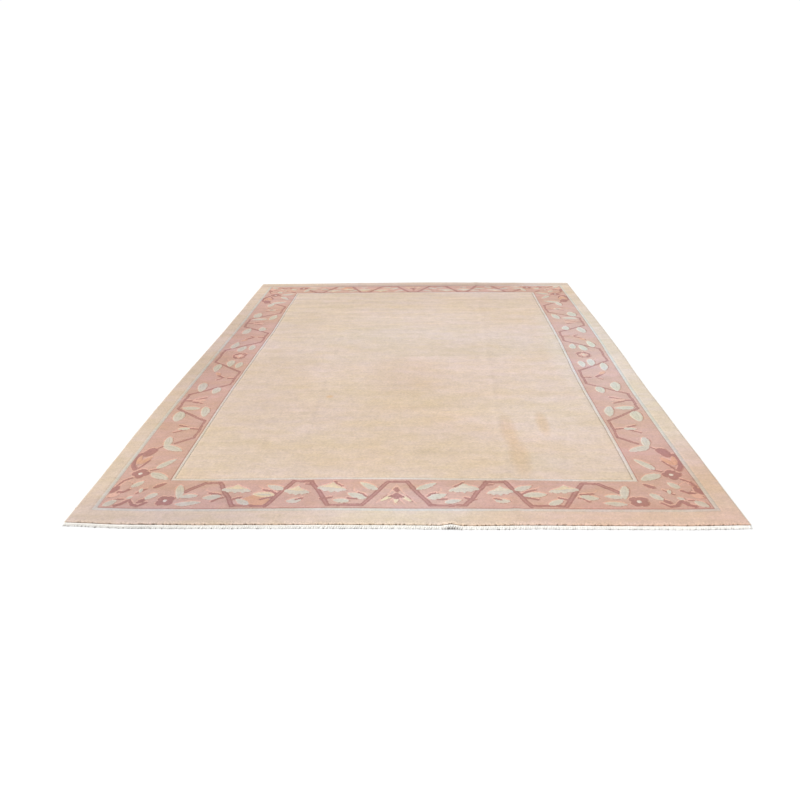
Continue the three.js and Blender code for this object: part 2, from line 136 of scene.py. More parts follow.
def make_camera():
    level = math.cos(CAMERA_PITCH_DOWN)
    forward = Vector(
        (math.sin(CAMERA_YAW) * level, math.cos(CAMERA_YAW) * level, -math.sin(CAMERA_PITCH_DOWN))
    )
    right = forward.cross(Vector((0, 0, 1))).normalized()
    up = right.cross(forward)
    rolled_right = right * math.cos(CAMERA_ROLL) + up * math.sin(CAMERA_ROLL)
    rolled_up = up * math.cos(CAMERA_ROLL) - right * math.sin(CAMERA_ROLL)
    data = bpy.data.cameras.new("camera")
    data.lens = CAMERA_LENS
    data.sensor_width = CAMERA_SENSOR
    data.clip_end = 100
    camera = linked("camera", data)
    turn = Matrix((rolled_right, rolled_up, -forward)).transposed()
    camera.matrix_world = Matrix.Translation(CAMERA_PLACE) @ turn.to_4x4()
    bpy.context.scene.camera = camera


# The uneven outline


def drift(values, place):
    """A line's drift, eased between its steps; place runs from -1 to 1 along the side."""
    values = np.array(values, float)
    last = len(values) - 1
    at = np.clip((place + 1) / 2 * last, 0, last)
    row = np.minimum(at.astype(int), last - 1)
    part = at - row
    ease = part * part * (3 - 2 * part)
    return values[row] + (values[row + 1] - values[row]) * ease


def drifted(value, lines, low_side, high_side, place):
    """A coordinate, moved by the drift of the lines on both sides of it."""
    reach = np.abs(value)
    moved = reach.copy()
    last_line = 0.0
    last_move = 0.0
    for key, line in lines.items():
        move = np.where(value < 0, drift(low_side[key], place), drift(high_side[key], place))
        moved += (move - last_move) * np.clip((reach - last_line) / (line - last_line), 0, 1)
        last_line = line
        last_move = move
    return np.sign(value) * moved


def uneven(x, y):
    """Moves points of the straight design onto the uneven rug."""
    x = np.asarray(x, float)
    y = np.asarray(y, float)
    return (
        drifted(x, LINES_X, LEFT, RIGHT, y / HALF_LENGTH),
        drifted(y, LINES_Y, NEAR, FAR, x / HALF_WIDTH),
    )


def lift(x, y):
    """Height of the fold's underside over the floor, at points of the straight design."""
    across = np.clip((x - FOLD_X) / FOLD_HALF_WIDTH, -1, 1)
    inward = np.clip((y + HALF_LENGTH) / FOLD_INWARD, 0, 1)
    return FOLD_RISE * np.cos(across * math.pi / 2) ** 2 * np.cos(inward * math.pi / 2) ** 2


# Yarns, as they look in bright daylight (sRGB, 0 to 255)

YARNS = {
    "field": (226, 205, 186),
    # the tufts' roots, darkened further as painted shade under the pile's overhang
    "root": (134, 108, 84),
    "stripe_outer": (214, 206, 195),
    "stripe_inner": (222, 211, 201),
    "ground": (213, 174, 160),
    "line": (190, 143, 132),
    "mauve": (182, 133, 125),
    "vine": (177, 128, 120),
    "vine_core": (191, 144, 135),
    "salmon": (231, 186, 168),
    # painted shade on the figures' outlines that face away from the light
    "shade": (191, 146, 132),
    "leaf": (216, 205, 190),
    "leaf_heart": (211, 202, 188),
    # pale yarn of wing heads and medallion hearts, and the painted highlight on the lit rims of leaves
    # and wings
    "leaf_rim": (226, 213, 196),
    "cream": (231, 210, 178),
    "apricot": (222, 173, 146),
    "heart": (232, 220, 208),
}
# The scene's light is stronger than that, so all yarns are dyed this much deeper
YARN_DEPTH = 0.885
YARN_NAMES = list(YARNS)
YARN = {name: index for index, name in enumerate(YARN_NAMES)}


def linear(colour):
    """Scene-linear values of an sRGB colour from 0 to 255."""
    value = np.asarray(colour, float) / 255
    return np.where(value <= 0.04045, value / 12.92, ((value + 0.055) / 1.055) ** 2.4)


def dyed(name):
    """Scene-linear colour of a yarn under the scene's light."""
    return linear(YARNS[name]) * YARN_DEPTH


# The border design. along = distance from a border's middle, inward = distance from the
# ground's outer edge. Each half of a border mirrors the other.

# left_yarn: the yarn on a border's left half, where it differs
LEAF_PARTS = "along inward to_along to_inward wide yarn left_yarn"
Leaf = namedtuple("Leaf", LEAF_PARTS, defaults=("leaf", None))
Stroke = namedtuple("Stroke", "points wide yarn", defaults=("mauve",))
Flower = namedtuple("Flower", "along inward wide high turn", defaults=(0,))
# A leaf like a bird with spread wings, its head towards the field
Wing = namedtuple("Wing", "along inward wide high head left_head")

# Widths of the vine where it crosses a border and where it runs along it, and the share of them
# on each side of its lighter core
END_VINE_WIDE = (20, 15)
SIDE_VINE_WIDE = (15, 13)
VINE_CORE = 0.3

END_VINE = ((0, 186), (37, 186), (130, 20), (262, 21), (349, 191), (421, 190), (502, 18),
            (630, 19), (720, 185), (782, 183), (844, 120))
END_LEAVES = (
    Leaf(75, 130, 152, 178, 32),
    Leaf(118, 69, 191, 100, 37),
    Leaf(183, 44, 247, 54, 28),
    Leaf(369, 56, 429, 48, 32),
    Leaf(453, 128, 523, 164, 32),
    Leaf(479, 90, 572, 102, 37, "leaf", "cream"),
    Leaf(568, 26, 625, 65, 32),
    Leaf(691, 90, 761, 73, 34),
    Leaf(791, 37, 855, 31, 30),
    Leaf(877, 166, 855, 71, 34),
    Leaf(855, 84, 783, 90, 30),
)
END_WINGS = (
    Wing(259, 130, 118, 60, "leaf_rim", "cream"),
    Wing(397, 112, 100, 58, "leaf_rim", "cream"),
    Wing(642, 128, 118, 54, "cream", "cream"),
)
END_STROKES = (
    Stroke(((119, 81), (133, 100), (153, 109)), 9),
    Stroke(((153, 109), (169, 122), (173, 141)), 6, "salmon"),
    Stroke(((155, 64), (189, 66)), 9),
    Stroke(((259, 73), (295, 64)), 11),
    Stroke(((223, 157), (247, 174), (255, 187)), 7),
    Stroke(((371, 67), (393, 60)), 10),
    Stroke(((337, 168), (369, 174)), 9),
    Stroke(((478, 103), (497, 120), (531, 132)), 10),
    Stroke(((483, 79), (531, 62)), 10),
    Stroke(((531, 140), (553, 155)), 6, "salmon"),
    Stroke(((613, 77), (645, 60)), 11),
    Stroke(((697, 103), (741, 111)), 10),
    Stroke(((683, 77), (701, 71), (719, 52)), 9),
    Stroke(((741, 119), (761, 130)), 6, "salmon"),
)
END_FLOWER = Flower(902, 54, 78, 74, math.pi / 4)
END_RING = Flower(0, 128, 26, 34)
END_STAR = (
    Leaf(14, 92, 58, 46, 18, "cream"),
    Leaf(0, 84, 0, 34, 18, "cream"),
    Leaf(0, 106, 0, 62, 34, "mauve"),
    Leaf(2, 92, 32, 76, 16, "mauve"),
)
END_STAR_STROKES = (
    Stroke(((1, 160), (11, 141), (27, 109), (73, 37)), 6, "salmon"),
    Stroke(((-1, 109), (11, 67), (31, 37)), 6, "salmon"),
    Stroke(((0, 43), (5, 26)), 6, "salmon"),
    Stroke(((37, 92), (55, 64)), 5, "line"),
)
# A warmer patch of ground inside one bend of the vine, on the left only
APRICOT_PATCH = Leaf(497, 56, 601, 60, 82, "apricot")

SIDE_VINE = ((0, 25), (105, 25), (256, 211), (443, 209), (581, 25), (758, 24), (896, 208),
             (1071, 211), (1127, 137))
SIDE_LEAVES = (
    Leaf(74, 115, 180, 128, 46),
    Leaf(106, 182, 200, 174, 41),
    Leaf(136, 57, 258, 68, 43),
    Leaf(422, 57, 542, 72, 53),
    Leaf(484, 161, 570, 150, 48),
    Leaf(746, 42, 754, 141, 41),
    Leaf(734, 163, 850, 191, 46),
    Leaf(790, 53, 906, 64, 60),
    Leaf(1066, 92, 1164, 105, 41),
    Leaf(1152, 92, 1200, 198, 43),
    Leaf(270, 81, 312, 109, 22, "apricot"),
    Leaf(658, 66, 656, 137, 26, "salmon"),
    Leaf(980, 161, 982, 100, 26),
)
SIDE_STROKES = (
    Stroke(((353, 206), (354, 172)), 13),
    Stroke(((314, 103), (346, 137)), 15),
    Stroke(((362, 133), (380, 113)), 9),
    Stroke(((658, 31), (661, 64)), 15),
    Stroke(((646, 83), (620, 131)), 11),
    Stroke(((674, 77), (692, 128)), 11),
    Stroke(((983, 202), (978, 163)), 12),
    Stroke(((962, 139), (946, 100)), 12),
    Stroke(((992, 141), (1018, 92)), 10),
    Stroke(((60, 83), (100, 105)), 6, "salmon"),
    Stroke(((46, 128), (22, 107)), 10),
    Stroke(((48, 154), (24, 176)), 10),
)
SIDE_MEDALLION = Flower(0, 140, 90, 76)

# The corner. Here along runs from the side ground's outer edge and inward from the end's.
CORNER_LEAVES = (
    Leaf(36, 336, 78, 404, 28, "apricot"),
    Leaf(32, 336, 22, 410, 26, "apricot"),
    Leaf(133, 302, 197, 388, 36),
    Leaf(124, 262, 217, 214, 44),
    Leaf(80, 151, 117, 198, 32),
    Leaf(176, 148, 220, 186, 22, "mauve"),
    Leaf(50, 192, 58, 120, 46, "ground"),
    Leaf(26, 156, 4, 102, 28, "mauve"),
    Leaf(50, 99, 8, 76, 26, "salmon"),
    Leaf(58, 55, 16, 10, 34),
    Leaf(116, 82, 90, 66, 18),
    Leaf(174, 68, 146, 38, 22, "mauve"),
    Leaf(128, 142, 136, 110, 16),
    Leaf(212, 107, 172, 66, 34),
    Leaf(327, 34, 401, 42, 26),
)
CORNER_STROKES = (
    Stroke(((54, 462), (42, 428)), 48),
    Stroke(((70, 476), (92, 500)), 9),
    Stroke(((78, 372), (62, 330), (50, 298)), 9),
    Stroke(((15, 426), (10, 360), (14, 326), (38, 292)), 19),
    Stroke(((112, 284), (144, 300)), 9),
    Stroke(((52, 222), (26, 196), (16, 152)), 10),
    Stroke(((78, 130), (58, 113), (39, 112)), 15),
    Stroke(((80, 62), (60, 61), (37, 53)), 7),
    Stroke(((102, 50), (86, 28), (66, 18)), 16),
    Stroke(((184, 42), (160, 18), (132, 26), (109, 56)), 14),
    Stroke(((150, 138), (122, 106)), 9),
)
CORNER_FLOWER = Flower(78, 257, 78, 74)
CORNER_REACH = 500

MEDALLION_OUTLINE = 9
MEDALLION_HEART = 27

# A leaf's blunt tips, its widest place before its middle, and how far in its heart begins, as a
# share of its width
LEAF_BLUNT = 0.62
LEAF_SKEW = 0.85
LEAF_HEART = 1 / 3.4
FLOWER_WAIST = 0.66
FLOWER_LOBE = 0.6
FLOWER_EYE = 1 / 9
# A wing's dome, head and scalloped underside, as shares of its height, and where its head's
# yarn begins
WING_DOME = 0.62
WING_ROUND = 0.55
WING_HEAD = 0.22
WING_HEAD_REACH = 0.35
WING_HEAD_FROM = 0.22
WING_UNDER = 0.4
WING_SCALLOP = 0.2
WING_TILT = 0.13

# The figures were drawn by eye, so their outlines wander: how far, and over what lengths
WOBBLE = 1.7
WOBBLE_TURN = 1.7
WOBBLE_ACROSS = (19, 43)
WOBBLE_ALONG = (23, 37)


def leaf_distance(a, b, leaf):
    """Distance outside (+) or inside (-) a pointed leaf, at points (a, b)."""
    along = leaf.to_along - leaf.along
    inward = leaf.to_inward - leaf.inward
    length = math.hypot(along, inward)
    part = ((a - leaf.along) * along + (b - leaf.inward) * inward) / length**2
    across = np.abs((a - leaf.along) * inward - (b - leaf.inward) * along) / length
    inside = np.clip(part, 0, 1)
    half = leaf.wide / 2 * np.sin(math.pi * inside**LEAF_SKEW) ** LEAF_BLUNT
    beyond = np.abs(part - inside) * length
    return np.hypot(np.maximum(across - half, 0), beyond) + np.minimum(across - half, 0)


def stroke_distance(a, b, points, wide):
    """The same for a line of even width."""
    best = np.full(a.shape, np.inf)
    for (a0, b0), (a1, b1) in zip(points, points[1:]):
        length2 = (a1 - a0) ** 2 + (b1 - b0) ** 2
        part = np.clip(((a - a0) * (a1 - a0) + (b - b0) * (b1 - b0)) / length2, 0, 1)
        away = np.hypot(a - a0 - part * (a1 - a0), b - b0 - part * (b1 - b0))
        best = np.minimum(best, away)
    return best - wide / 2


def flower_distance(a, b, flower):
    """The same for a four-lobed figure."""
    across = (a - flower.along) / (flower.wide / 2)
    down = (b - flower.inward) / (flower.high / 2)
    angle = np.arctan2(down, across) - flower.turn
    lobe = np.abs(np.cos(2 * angle)) ** FLOWER_LOBE
    reach = FLOWER_WAIST + (1 - FLOWER_WAIST) * lobe
    return (np.hypot(across, down) - reach) * min(flower.wide, flower.high) / 2


def wing_distance(a, b, wing):
    """The same for a winged leaf, and the height above its middle."""
    across = np.abs(a - wing.along) / (wing.wide / 2)
    left_over = np.clip(1 - across, 0, 1)
    head = WING_HEAD * np.clip(1 - across / WING_HEAD_REACH, 0, 1)
    up = wing.high * (WING_DOME * left_over**WING_ROUND + head)
    scallop = 1 - WING_SCALLOP + WING_SCALLOP * np.cos(4 * math.pi * across)
    down = wing.high * WING_UNDER * left_over**0.5 * scallop
    above = b - wing.inward - WING_TILT * (a - wing.along)
    inside = np.maximum(above - up, -down - above)
    return np.maximum(inside, (across - 1) * wing.wide / 2), above


# Towards the light, from the left and the far end. Figures get a painted highlight on the rims that
# face it, and painted shade on the outlines that face away from it.
LIT_SIDE = (-0.8, 0.6)
LIT_LIMIT = 0.3


def facing(distance):
    """1 where a figure's outline faces the light, -1 where it faces away, on a knot grid."""
    across, along = np.gradient(distance)
    size = np.maximum(np.hypot(across, along), 1e-6)
    return (across * LIT_SIDE[0] + along * LIT_SIDE[1]) / size


class Cloth:
    """Yarn and carving of a set of points, painted figure by figure."""

    def __init__(self, shape):
        self.yarn = np.zeros(shape, int)
        self.edge = np.full(shape, np.inf)
        self.figures = []

    def put(self, where, distance, yarn, halo=True, rim=None):
        self.figures.append((where, distance, yarn, halo, rim))

    def finish(self):
        """Outlines first, so that no figure's outline lies over another figure. Where an outline faces
        away from the light it gets painted shade, and a figure's rim that faces the light gets a
        painted highlight.
        """
        for where, distance, _, halo, _ in self.figures:
            if halo:
                ring = where & (distance < HALO)
                self.yarn[ring] = YARN["salmon"]
                # painted shade: the outline's side that faces away from the light
                self.yarn[ring & (facing(distance) < -LIT_LIMIT)] = YARN["shade"]
        for where, distance, yarn, _, rim in self.figures:
            inside = where & (distance < 0)
            self.yarn[inside] = YARN[yarn]
            if rim:
                # painted highlight: the figure's rim that faces the light
                lit = inside & (distance > -RIM) & (facing(distance) > LIT_LIMIT)
                self.yarn[lit] = YARN[rim]
            near = where & (np.abs(distance) < self.edge)
            self.edge[near] = np.abs(distance)[near]


def put_vine(cloth, where, a, b, points, widths):
    for start, end in zip(points, points[1:]):
        level = abs(end[1] - start[1]) < abs(end[0] - start[0]) / 4
        wide = widths[1] if level else widths[0]
        distance = stroke_distance(a, b, (start, end), wide)
        cloth.put(where, distance, "vine", halo=False)
        cloth.put(where, distance + wide * VINE_CORE, "vine_core", halo=False)


def put_wings(cloth, where, a, b, wings, left):
    for wing in wings:
        distance, above = wing_distance(a, b, wing)
        head = np.maximum(distance + RIM / 2, wing.high * WING_HEAD_FROM - above)
        # leaf_rim here is a painted highlight on the wing's rim that faces the light
        cloth.put(where, distance, "leaf", rim="leaf_rim")
        cloth.put(where & ~left, head, wing.head, halo=False)
        cloth.put(where & left, head, wing.left_head, halo=False)


def put_leaves(cloth, where, a, b, leaves, left):
    for leaf in leaves:
        distance = leaf_distance(a, b, leaf)
        # leaf_rim here is a painted highlight on the leaf's rim that faces the light
        rim = "leaf_rim" if leaf.yarn == "leaf" else None
        if leaf.left_yarn:
            cloth.put(where & ~left, distance, leaf.yarn, rim=rim)
            cloth.put(where & left, distance, leaf.left_yarn, rim=rim)
        else:
            cloth.put(where, distance, leaf.yarn, rim=rim)
        if leaf.yarn == "leaf":
            cloth.put(where, distance + leaf.wide * LEAF_HEART, "leaf_heart", halo=False)


def put_strokes(cloth, where, a, b, strokes):
    for stroke in strokes:
        distance = stroke_distance(a, b, stroke.points, stroke.wide)
        cloth.put(where, distance, stroke.yarn, halo=stroke.yarn == "mauve")


def put_flower(cloth, where, a, b, flower):
    cloth.put(where, flower_distance(a, b, flower), "mauve")
    eye = np.hypot(a - flower.along, b - flower.inward) - flower.wide * FLOWER_EYE
    cloth.put(where, eye, "heart", halo=False)


def from_middle(place, shift, reach):
    """Distance from a border's middle, stretched so that both halves end at the corners."""
    side = np.where(place < shift, -1, 1)
    return np.abs((place - shift) / (1 - side * shift / reach))


def put_end_border(cloth, x, y):
    shift = np.where(y < 0, SHIFT_NEAR, SHIFT_FAR)
    left = x < shift
    a = from_middle(x, shift, OUTER_X)
    b = OUTER_Y - np.abs(y)
    where = (b > 0) & (b < END_GROUND)
    cloth.put(where & left, leaf_distance(a, b, APRICOT_PATCH), "apricot", halo=False)
    put_vine(cloth, where, a, b, END_VINE, END_VINE_WIDE)
    put_strokes(cloth, where, a, b, END_STAR_STROKES)
    put_leaves(cloth, where, a, b, END_STAR, left)
    put_leaves(cloth, where, a, b, END_LEAVES, left)
    put_wings(cloth, where, a, b, END_WINGS, left)
    put_strokes(cloth, where, a, b, END_STROKES)
    cloth.put(where, flower_distance(a, b, END_RING), "mauve")
    put_flower(cloth, where, a, b, END_FLOWER)


def put_side_border(cloth, x, y):
    a = from_middle(y, SHIFT_SIDE, OUTER_Y)
    b = OUTER_X - np.abs(x)
    where = (b > 0) & (b < SIDE_GROUND)
    put_vine(cloth, where, a, b, SIDE_VINE, SIDE_VINE_WIDE)
    medallion = flower_distance(a, b, SIDE_MEDALLION)
    cloth.put(where, medallion, "mauve")
    cloth.put(where, medallion + MEDALLION_OUTLINE, "salmon", halo=False)
    cloth.put(where, medallion + MEDALLION_HEART, "leaf_rim", halo=False)
    put_strokes(cloth, where, a, b, SIDE_STROKES)
    put_leaves(cloth, where, a, b, SIDE_LEAVES, x < 0)


def put_corners(cloth, x, y):
    a = OUTER_X - np.abs(x)
    b = OUTER_Y - np.abs(y)
    inside = (np.minimum(a, b) > 0) & ((a < SIDE_GROUND) | (b < END_GROUND))
    where = inside & (np.maximum(a, b) < CORNER_REACH)
    put_strokes(cloth, where, a, b, CORNER_STROKES)
    put_leaves(cloth, where, a, b, CORNER_LEAVES, x < 0)
    put_flower(cloth, where, a, b, CORNER_FLOWER)


def wander(first, second, lengths):
    """A wave along the first coordinate that the second one pulls to and fro."""
    return WOBBLE * np.sin(first / lengths[0] + WOBBLE_TURN * np.sin(second / lengths[1]))


def design(x, y):
    """Yarn of each point of the straight design, and its distance to the nearest carved line."""
    cloth = Cloth(x.shape)
    outer = np.minimum(OUTER_X - np.abs(x), OUTER_Y - np.abs(y))
    inner = np.maximum(np.abs(x) - FIELD_X, np.abs(y) - FIELD_Y)
    ground = (outer >= 0) & (inner >= STRIPE_INNER)
    cloth.yarn[ground] = YARN["ground"]
    if ground.any():
        drawn = x + wander(y, x, WOBBLE_ACROSS), y + wander(x, y, WOBBLE_ALONG)
        put_end_border(cloth, *drawn)
        put_side_border(cloth, *drawn)
        put_corners(cloth, *drawn)
        cloth.finish()
    cloth.yarn[ground & (outer < LINE)] = YARN["line"]
    cloth.yarn[ground & (inner < STRIPE_INNER + LINE)] = YARN["line"]
    cloth.yarn[(outer >= -STRIPE_OUTER) & (outer < 0)] = YARN["stripe_outer"]
    cloth.yarn[(inner >= 0) & (inner < STRIPE_INNER)] = YARN["stripe_inner"]
    cloth.yarn[inner < 0] = YARN["field"]
    for away in (outer + STRIPE_OUTER, outer, inner - STRIPE_INNER, inner):
        cloth.edge = np.minimum(cloth.edge, np.abs(away))
    return cloth.yarn, cloth.edge


# Pile

SHOULDER_REACH = 6
SHOULDER_DROP = 2.4
PILE_ROUGHNESS = 0.55
# Soft lengthwise creases left by folding. place is where one lies at CREASE_FROM along the rug.
Crease = namedtuple("Crease", "place slope half_width high")
CREASES = (Crease(-448, 0, 26, 1.0), Crease(455, 0.022, 22, 2.2))
CREASE_FROM = -600


def scatter(x, y, seed):
    """Repeatable noise from 0 to 1 at each place; its constants are only large and unrelated."""
    value = np.sin(np.round(x, 2) * 12.9898 + np.round(y, 2) * 78.233 + seed * 37.719) * 43758.5453
    return value - np.floor(value)


def knot_lines(stops, pitch):
    """Lines of the knot grid that pass through every stop."""
    lines = [np.array([stops[0]], float)]
    for low, high in zip(stops, stops[1:]):
        count = max(1, round((high - low) / pitch))
        lines.append(np.linspace(low, high, count + 1)[1:])
    return np.concatenate(lines)


def crease_height(x, y):
    height = np.zeros(x.shape)
    for crease in CREASES:
        away = x - crease.place - crease.slope * (y - CREASE_FROM)
        height += crease.high * np.exp(-((away / crease.half_width) ** 2))
    return height


def pile_top(x, y, outer):
    """Height of the pile; outer names the block's sides that lie on the rug's outline."""
    _, edge = design(x, y)
    high = THICKNESS - CARVE_DEPTH * np.clip(1 - edge / CARVE_REACH, 0, 1)
    from_sides = {
        "left": BODY_HALF_WIDTH + x,
        "right": BODY_HALF_WIDTH - x,
        "near": HALF_LENGTH + y,
        "far": HALF_LENGTH - y,
    }
    from_edge = np.full(x.shape, np.inf)
    for side in outer:
        from_edge = np.minimum(from_edge, from_sides[side])
    high -= SHOULDER_DROP * np.clip(1 - from_edge / SHOULDER_REACH, 0, 1) ** 2
    high += PILE_ROUGHNESS * (scatter(x, y, 1) - 0.5)
    return high + crease_height(x, y) + lift(x, y)


# Rings of a block's wall: height, how far the pile leans out there, and how much dark root colour
# shows
# in the band above: the tufts' roots, with painted shade under the pile's overhang. The pile bends
# over the edge, and its roots lie back in its shade.
Ring = namedtuple("Ring", "z lean bare")
WALL = (Ring(7.2, 1.3, 0.35), Ring(4.6, 0.9, 1), Ring(2.5, -1.5, 1), Ring(0, -2.4, 1))
WALL_ROUGHNESS = 1.6
# Knots in a tuft, and how far tufts differ
TUFT = 2
TUFT_ROUGHNESS = 5.0
UNDER_SPACING = 70
UNDER_INSET = 12
FOLD_SPACING = 9


def under_points(xs, ys):
    """Inner points of the underside, closer together under the fold."""
    inner_x = np.arange(xs[0] + UNDER_INSET, xs[-1] - UNDER_INSET, UNDER_SPACING)
    inner_y = np.arange(ys[0] + UNDER_INSET, ys[-1] - UNDER_INSET, UNDER_SPACING)
    points = [(x, y) for x in inner_x for y in inner_y]
    if ys[0] == -HALF_LENGTH:
        fold_x = np.arange(FOLD_X - FOLD_HALF_WIDTH, FOLD_X + FOLD_HALF_WIDTH + 1, FOLD_SPACING)
        fold_y = np.arange(FOLD_SPACING, FOLD_INWARD, FOLD_SPACING) - HALF_LENGTH
        points += [(x, y) for x in fold_x for y in fold_y]
    return np.array(points, float)


def ring_indices(columns, rows):
    """Grid places along the block's rim, counter-clockwise from the near left corner."""
    near = [(i, 0) for i in range(columns - 1)]
    right = [(columns - 1, j) for j in range(rows - 1)]
    far = [(i, rows - 1) for i in range(columns - 1, 0, -1)]
    left = [(0, j) for j in range(rows - 1, 0, -1)]
    return np.array(near + right + far + left)


def wall_rings(rim, xs, ys, outer):
    """Points of the block's wall, ring by ring downwards."""
    i, j = rim.T
    x, y = xs[i], ys[j]
    lean_x = np.zeros(len(rim))
    lean_y = np.zeros(len(rim))
    lean_x[(i == 0) & ("left" in outer)] = -1
    lean_x[(i == len(xs) - 1) & ("right" in outer)] = 1
    lean_y[(j == 0) & ("near" in outer)] = -1
    lean_y[(j == len(ys) - 1) & ("far" in outer)] = 1
    px, py = uneven(x, y)
    raised = lift(x, y)
    shaggy = TUFT_ROUGHNESS * (scatter(np.arange(len(rim)) // TUFT, 0, 6) - 0.5)
    wall = []
    for ring in WALL:
        loose = WALL_ROUGHNESS * (scatter(x, y, 3 + ring.z) - 0.5) + shaggy
        if ring.lean < 0:
            loose = 0
        lean = ring.lean + loose
        wall.append(np.stack([px + lean * lean_x, py + lean * lean_y, ring.z + raised + loose], -1))
    return wall


def underside(foot, xs, ys):
    """Its inner points, and its faces as places in the wall's lowest ring and those points."""
    inner = under_points(xs, ys)
    px, py = uneven(inner[:, 0], inner[:, 1])
    points = np.stack([px, py, lift(inner[:, 0], inner[:, 1])], -1)
    flat = [Vector(point[:2]) for point in np.concatenate([foot, points])]
    loop = [(k, (k + 1) % len(foot)) for k in range(len(foot))]
    found = delaunay_2d_cdt(flat, loop, [], 1, 1e-4)
    origin = [ids[0] for ids in found[3]]
    return points, np.array([[origin[k] for k in reversed(face)] for face in found[2]])


def linked(name, data):
    """A new object of the scene."""
    made = bpy.data.objects.new(name, data)
    bpy.context.scene.collection.objects.link(made)
    return made


def pile_block(name, xs, ys, outer):
    """A closed piece of the rug over the grid xs by ys."""
    columns, rows = len(xs), len(ys)
    x, y = np.meshgrid(xs, ys, indexing="ij")
    px, py = uneven(x, y)
    top = np.stack([px, py, pile_top(x, y, outer)], -1).reshape(-1, 3)
    rim = ring_indices(columns, rows)
    size = len(rim)
    wall = wall_rings(rim, xs, ys, outer)
    inner, under = underside(wall[-1], xs, ys)
    under = under + len(top) + (len(wall) - 1) * size

    i, j = np.meshgrid(np.arange(columns - 1), np.arange(rows - 1), indexing="ij")
    corner = (i * rows + j).ravel()
    cells = np.stack([corner, corner + rows, corner + rows + 1, corner + 1], -1)
    bands = []
    upper = rim[:, 0] * rows + rim[:, 1]
    for level in range(len(wall)):
        lower = len(top) + level * size + np.arange(size)
        bands.append(np.stack([upper, lower, np.roll(lower, -1), np.roll(upper, -1)], -1))
        upper = lower
    sides = np.concatenate(bands)

    vertices = np.concatenate([top, *wall, inner]) * MM
    mesh = bpy.data.meshes.new(name)
    mesh.from_pydata(vertices.tolist(), [], cells.tolist() + sides.tolist() + under.tolist())
    paint_pile(mesh, (x[:-1, :-1] + x[1:, 1:]) / 2, (y[:-1, :-1] + y[1:, 1:]) / 2, size, len(under))
    lay_out(mesh, cells, sides, under, xs, ys, size)
    return linked(name, mesh)


KNOT_SPREAD = 0.075
# Next to the fringe the pile is frayed, so its knots differ more
FRAYED = 9
FRAYED_SPREAD = 0.26
# Share of the wall where the dark roots and the painted shade under the overhang show between the
# tufts, how softly they do, and how much whole tufts count there beside single knots
ROOT_SHADE_SHARE = 0.48
ROOT_SHADE_SOFTNESS = 0.3
WHOLE_TUFTS = 0.45
# How much lighter the pile's clipped tips are at the edge; this lightening is also painted light that
# offsets the shade on the outward-facing wall
TIP_AND_PAINTED_LIGHT = 1.15


def paint_pile(mesh, x, y, rim_size, under_count):
    """Gives each knot its yarn's colour, a little lighter or darker than its neighbours."""
    palette = np.array([dyed(name) for name in YARN_NAMES])
    yarn, _ = design(x, y)
    frayed = np.abs(y) > HALF_LENGTH - FRAYED
    shade = 1 + np.where(frayed, FRAYED_SPREAD, KNOT_SPREAD) * (scatter(x, y, 2) - 0.5)
    knots = palette[yarn] * shade[..., None]
    place = np.arange(rim_size)
    tufts = scatter(place // TUFT, 0, 9) * WHOLE_TUFTS + scatter(place, 0, 10) * (1 - WHOLE_TUFTS)
    bare = np.clip((tufts - 1 + ROOT_SHADE_SHARE) / ROOT_SHADE_SOFTNESS, 0, 1)[:, None]
    # painted light on the wall's tufts, over their pale clipped tips
    painted_light_tips = palette[YARN["field"]] * TIP_AND_PAINTED_LIGHT
    # painted shade under the pile's overhang, over the tufts' darker roots, on the wall's lower bands
    shaded_roots = palette[YARN["root"]]
    walls = [painted_light_tips * (1 - bare * ring.bare) + shaded_roots * bare * ring.bare for ring in WALL]
    under = np.tile(palette[YARN["field"]], (under_count, 1))
    colours = np.concatenate([knots.reshape(-1, 3), *walls, under])
    painted = np.concatenate([colours, np.ones((len(colours), 1))], -1)
    layer = mesh.attributes.new("yarn", "FLOAT_COLOR", "FACE")
    layer.data.foreach_set("color", painted.ravel().astype(np.float32))
    face = np.arange(len(mesh.polygons))
    mesh.polygons.foreach_set("use_smooth", face < x.size)
    mesh.polygons.foreach_set("material_index", (face >= len(face) - under_count).astype(int))


# Flat layout of a block: heights of its underside, wall and top, and the margin in millimetres
UV_UNDER = 0.24
UV_WALL = (0.26, 0.30)
UV_TOP = 0.32
UV_MARGIN = 30


def lay_out(mesh, cells, sides, under, xs, ys, size):
    """Flat layout for the surface's colours: the top over the walls over the underside."""
    place = np.empty(len(mesh.vertices) * 3)
    mesh.vertices.foreach_get("co", place)
    place = place.reshape(-1, 3) / MM
    u = (place[:, 0] - xs[0] + UV_MARGIN) / (xs[-1] - xs[0] + 2 * UV_MARGIN)
    v = (place[:, 1] - ys[0] + UV_MARGIN) / (ys[-1] - ys[0] + 2 * UV_MARGIN)
    top = np.stack([u[cells], UV_TOP + v[cells] * (1 - UV_TOP)], -1).reshape(-1, 2)
    bands = len(sides) // size
    step = (UV_WALL[1] - UV_WALL[0]) / bands
    k = np.tile(np.arange(size), bands) / size
    level = UV_WALL[1] - np.repeat(np.arange(bands), size) * step
    across = np.stack([k, k, k + 1 / size, k + 1 / size], -1)
    down = np.stack([level, level - step, level - step, level], -1)
    wall = np.stack([across, down], -1).reshape(-1, 2)
    below = np.stack([u[under], v[under] * UV_UNDER], -1).reshape(-1, 2)
    layer = mesh.uv_layers.new(name="OFBake")
    layer.data.foreach_set("uv", np.concatenate([top, wall, below]).ravel().astype(np.float32))


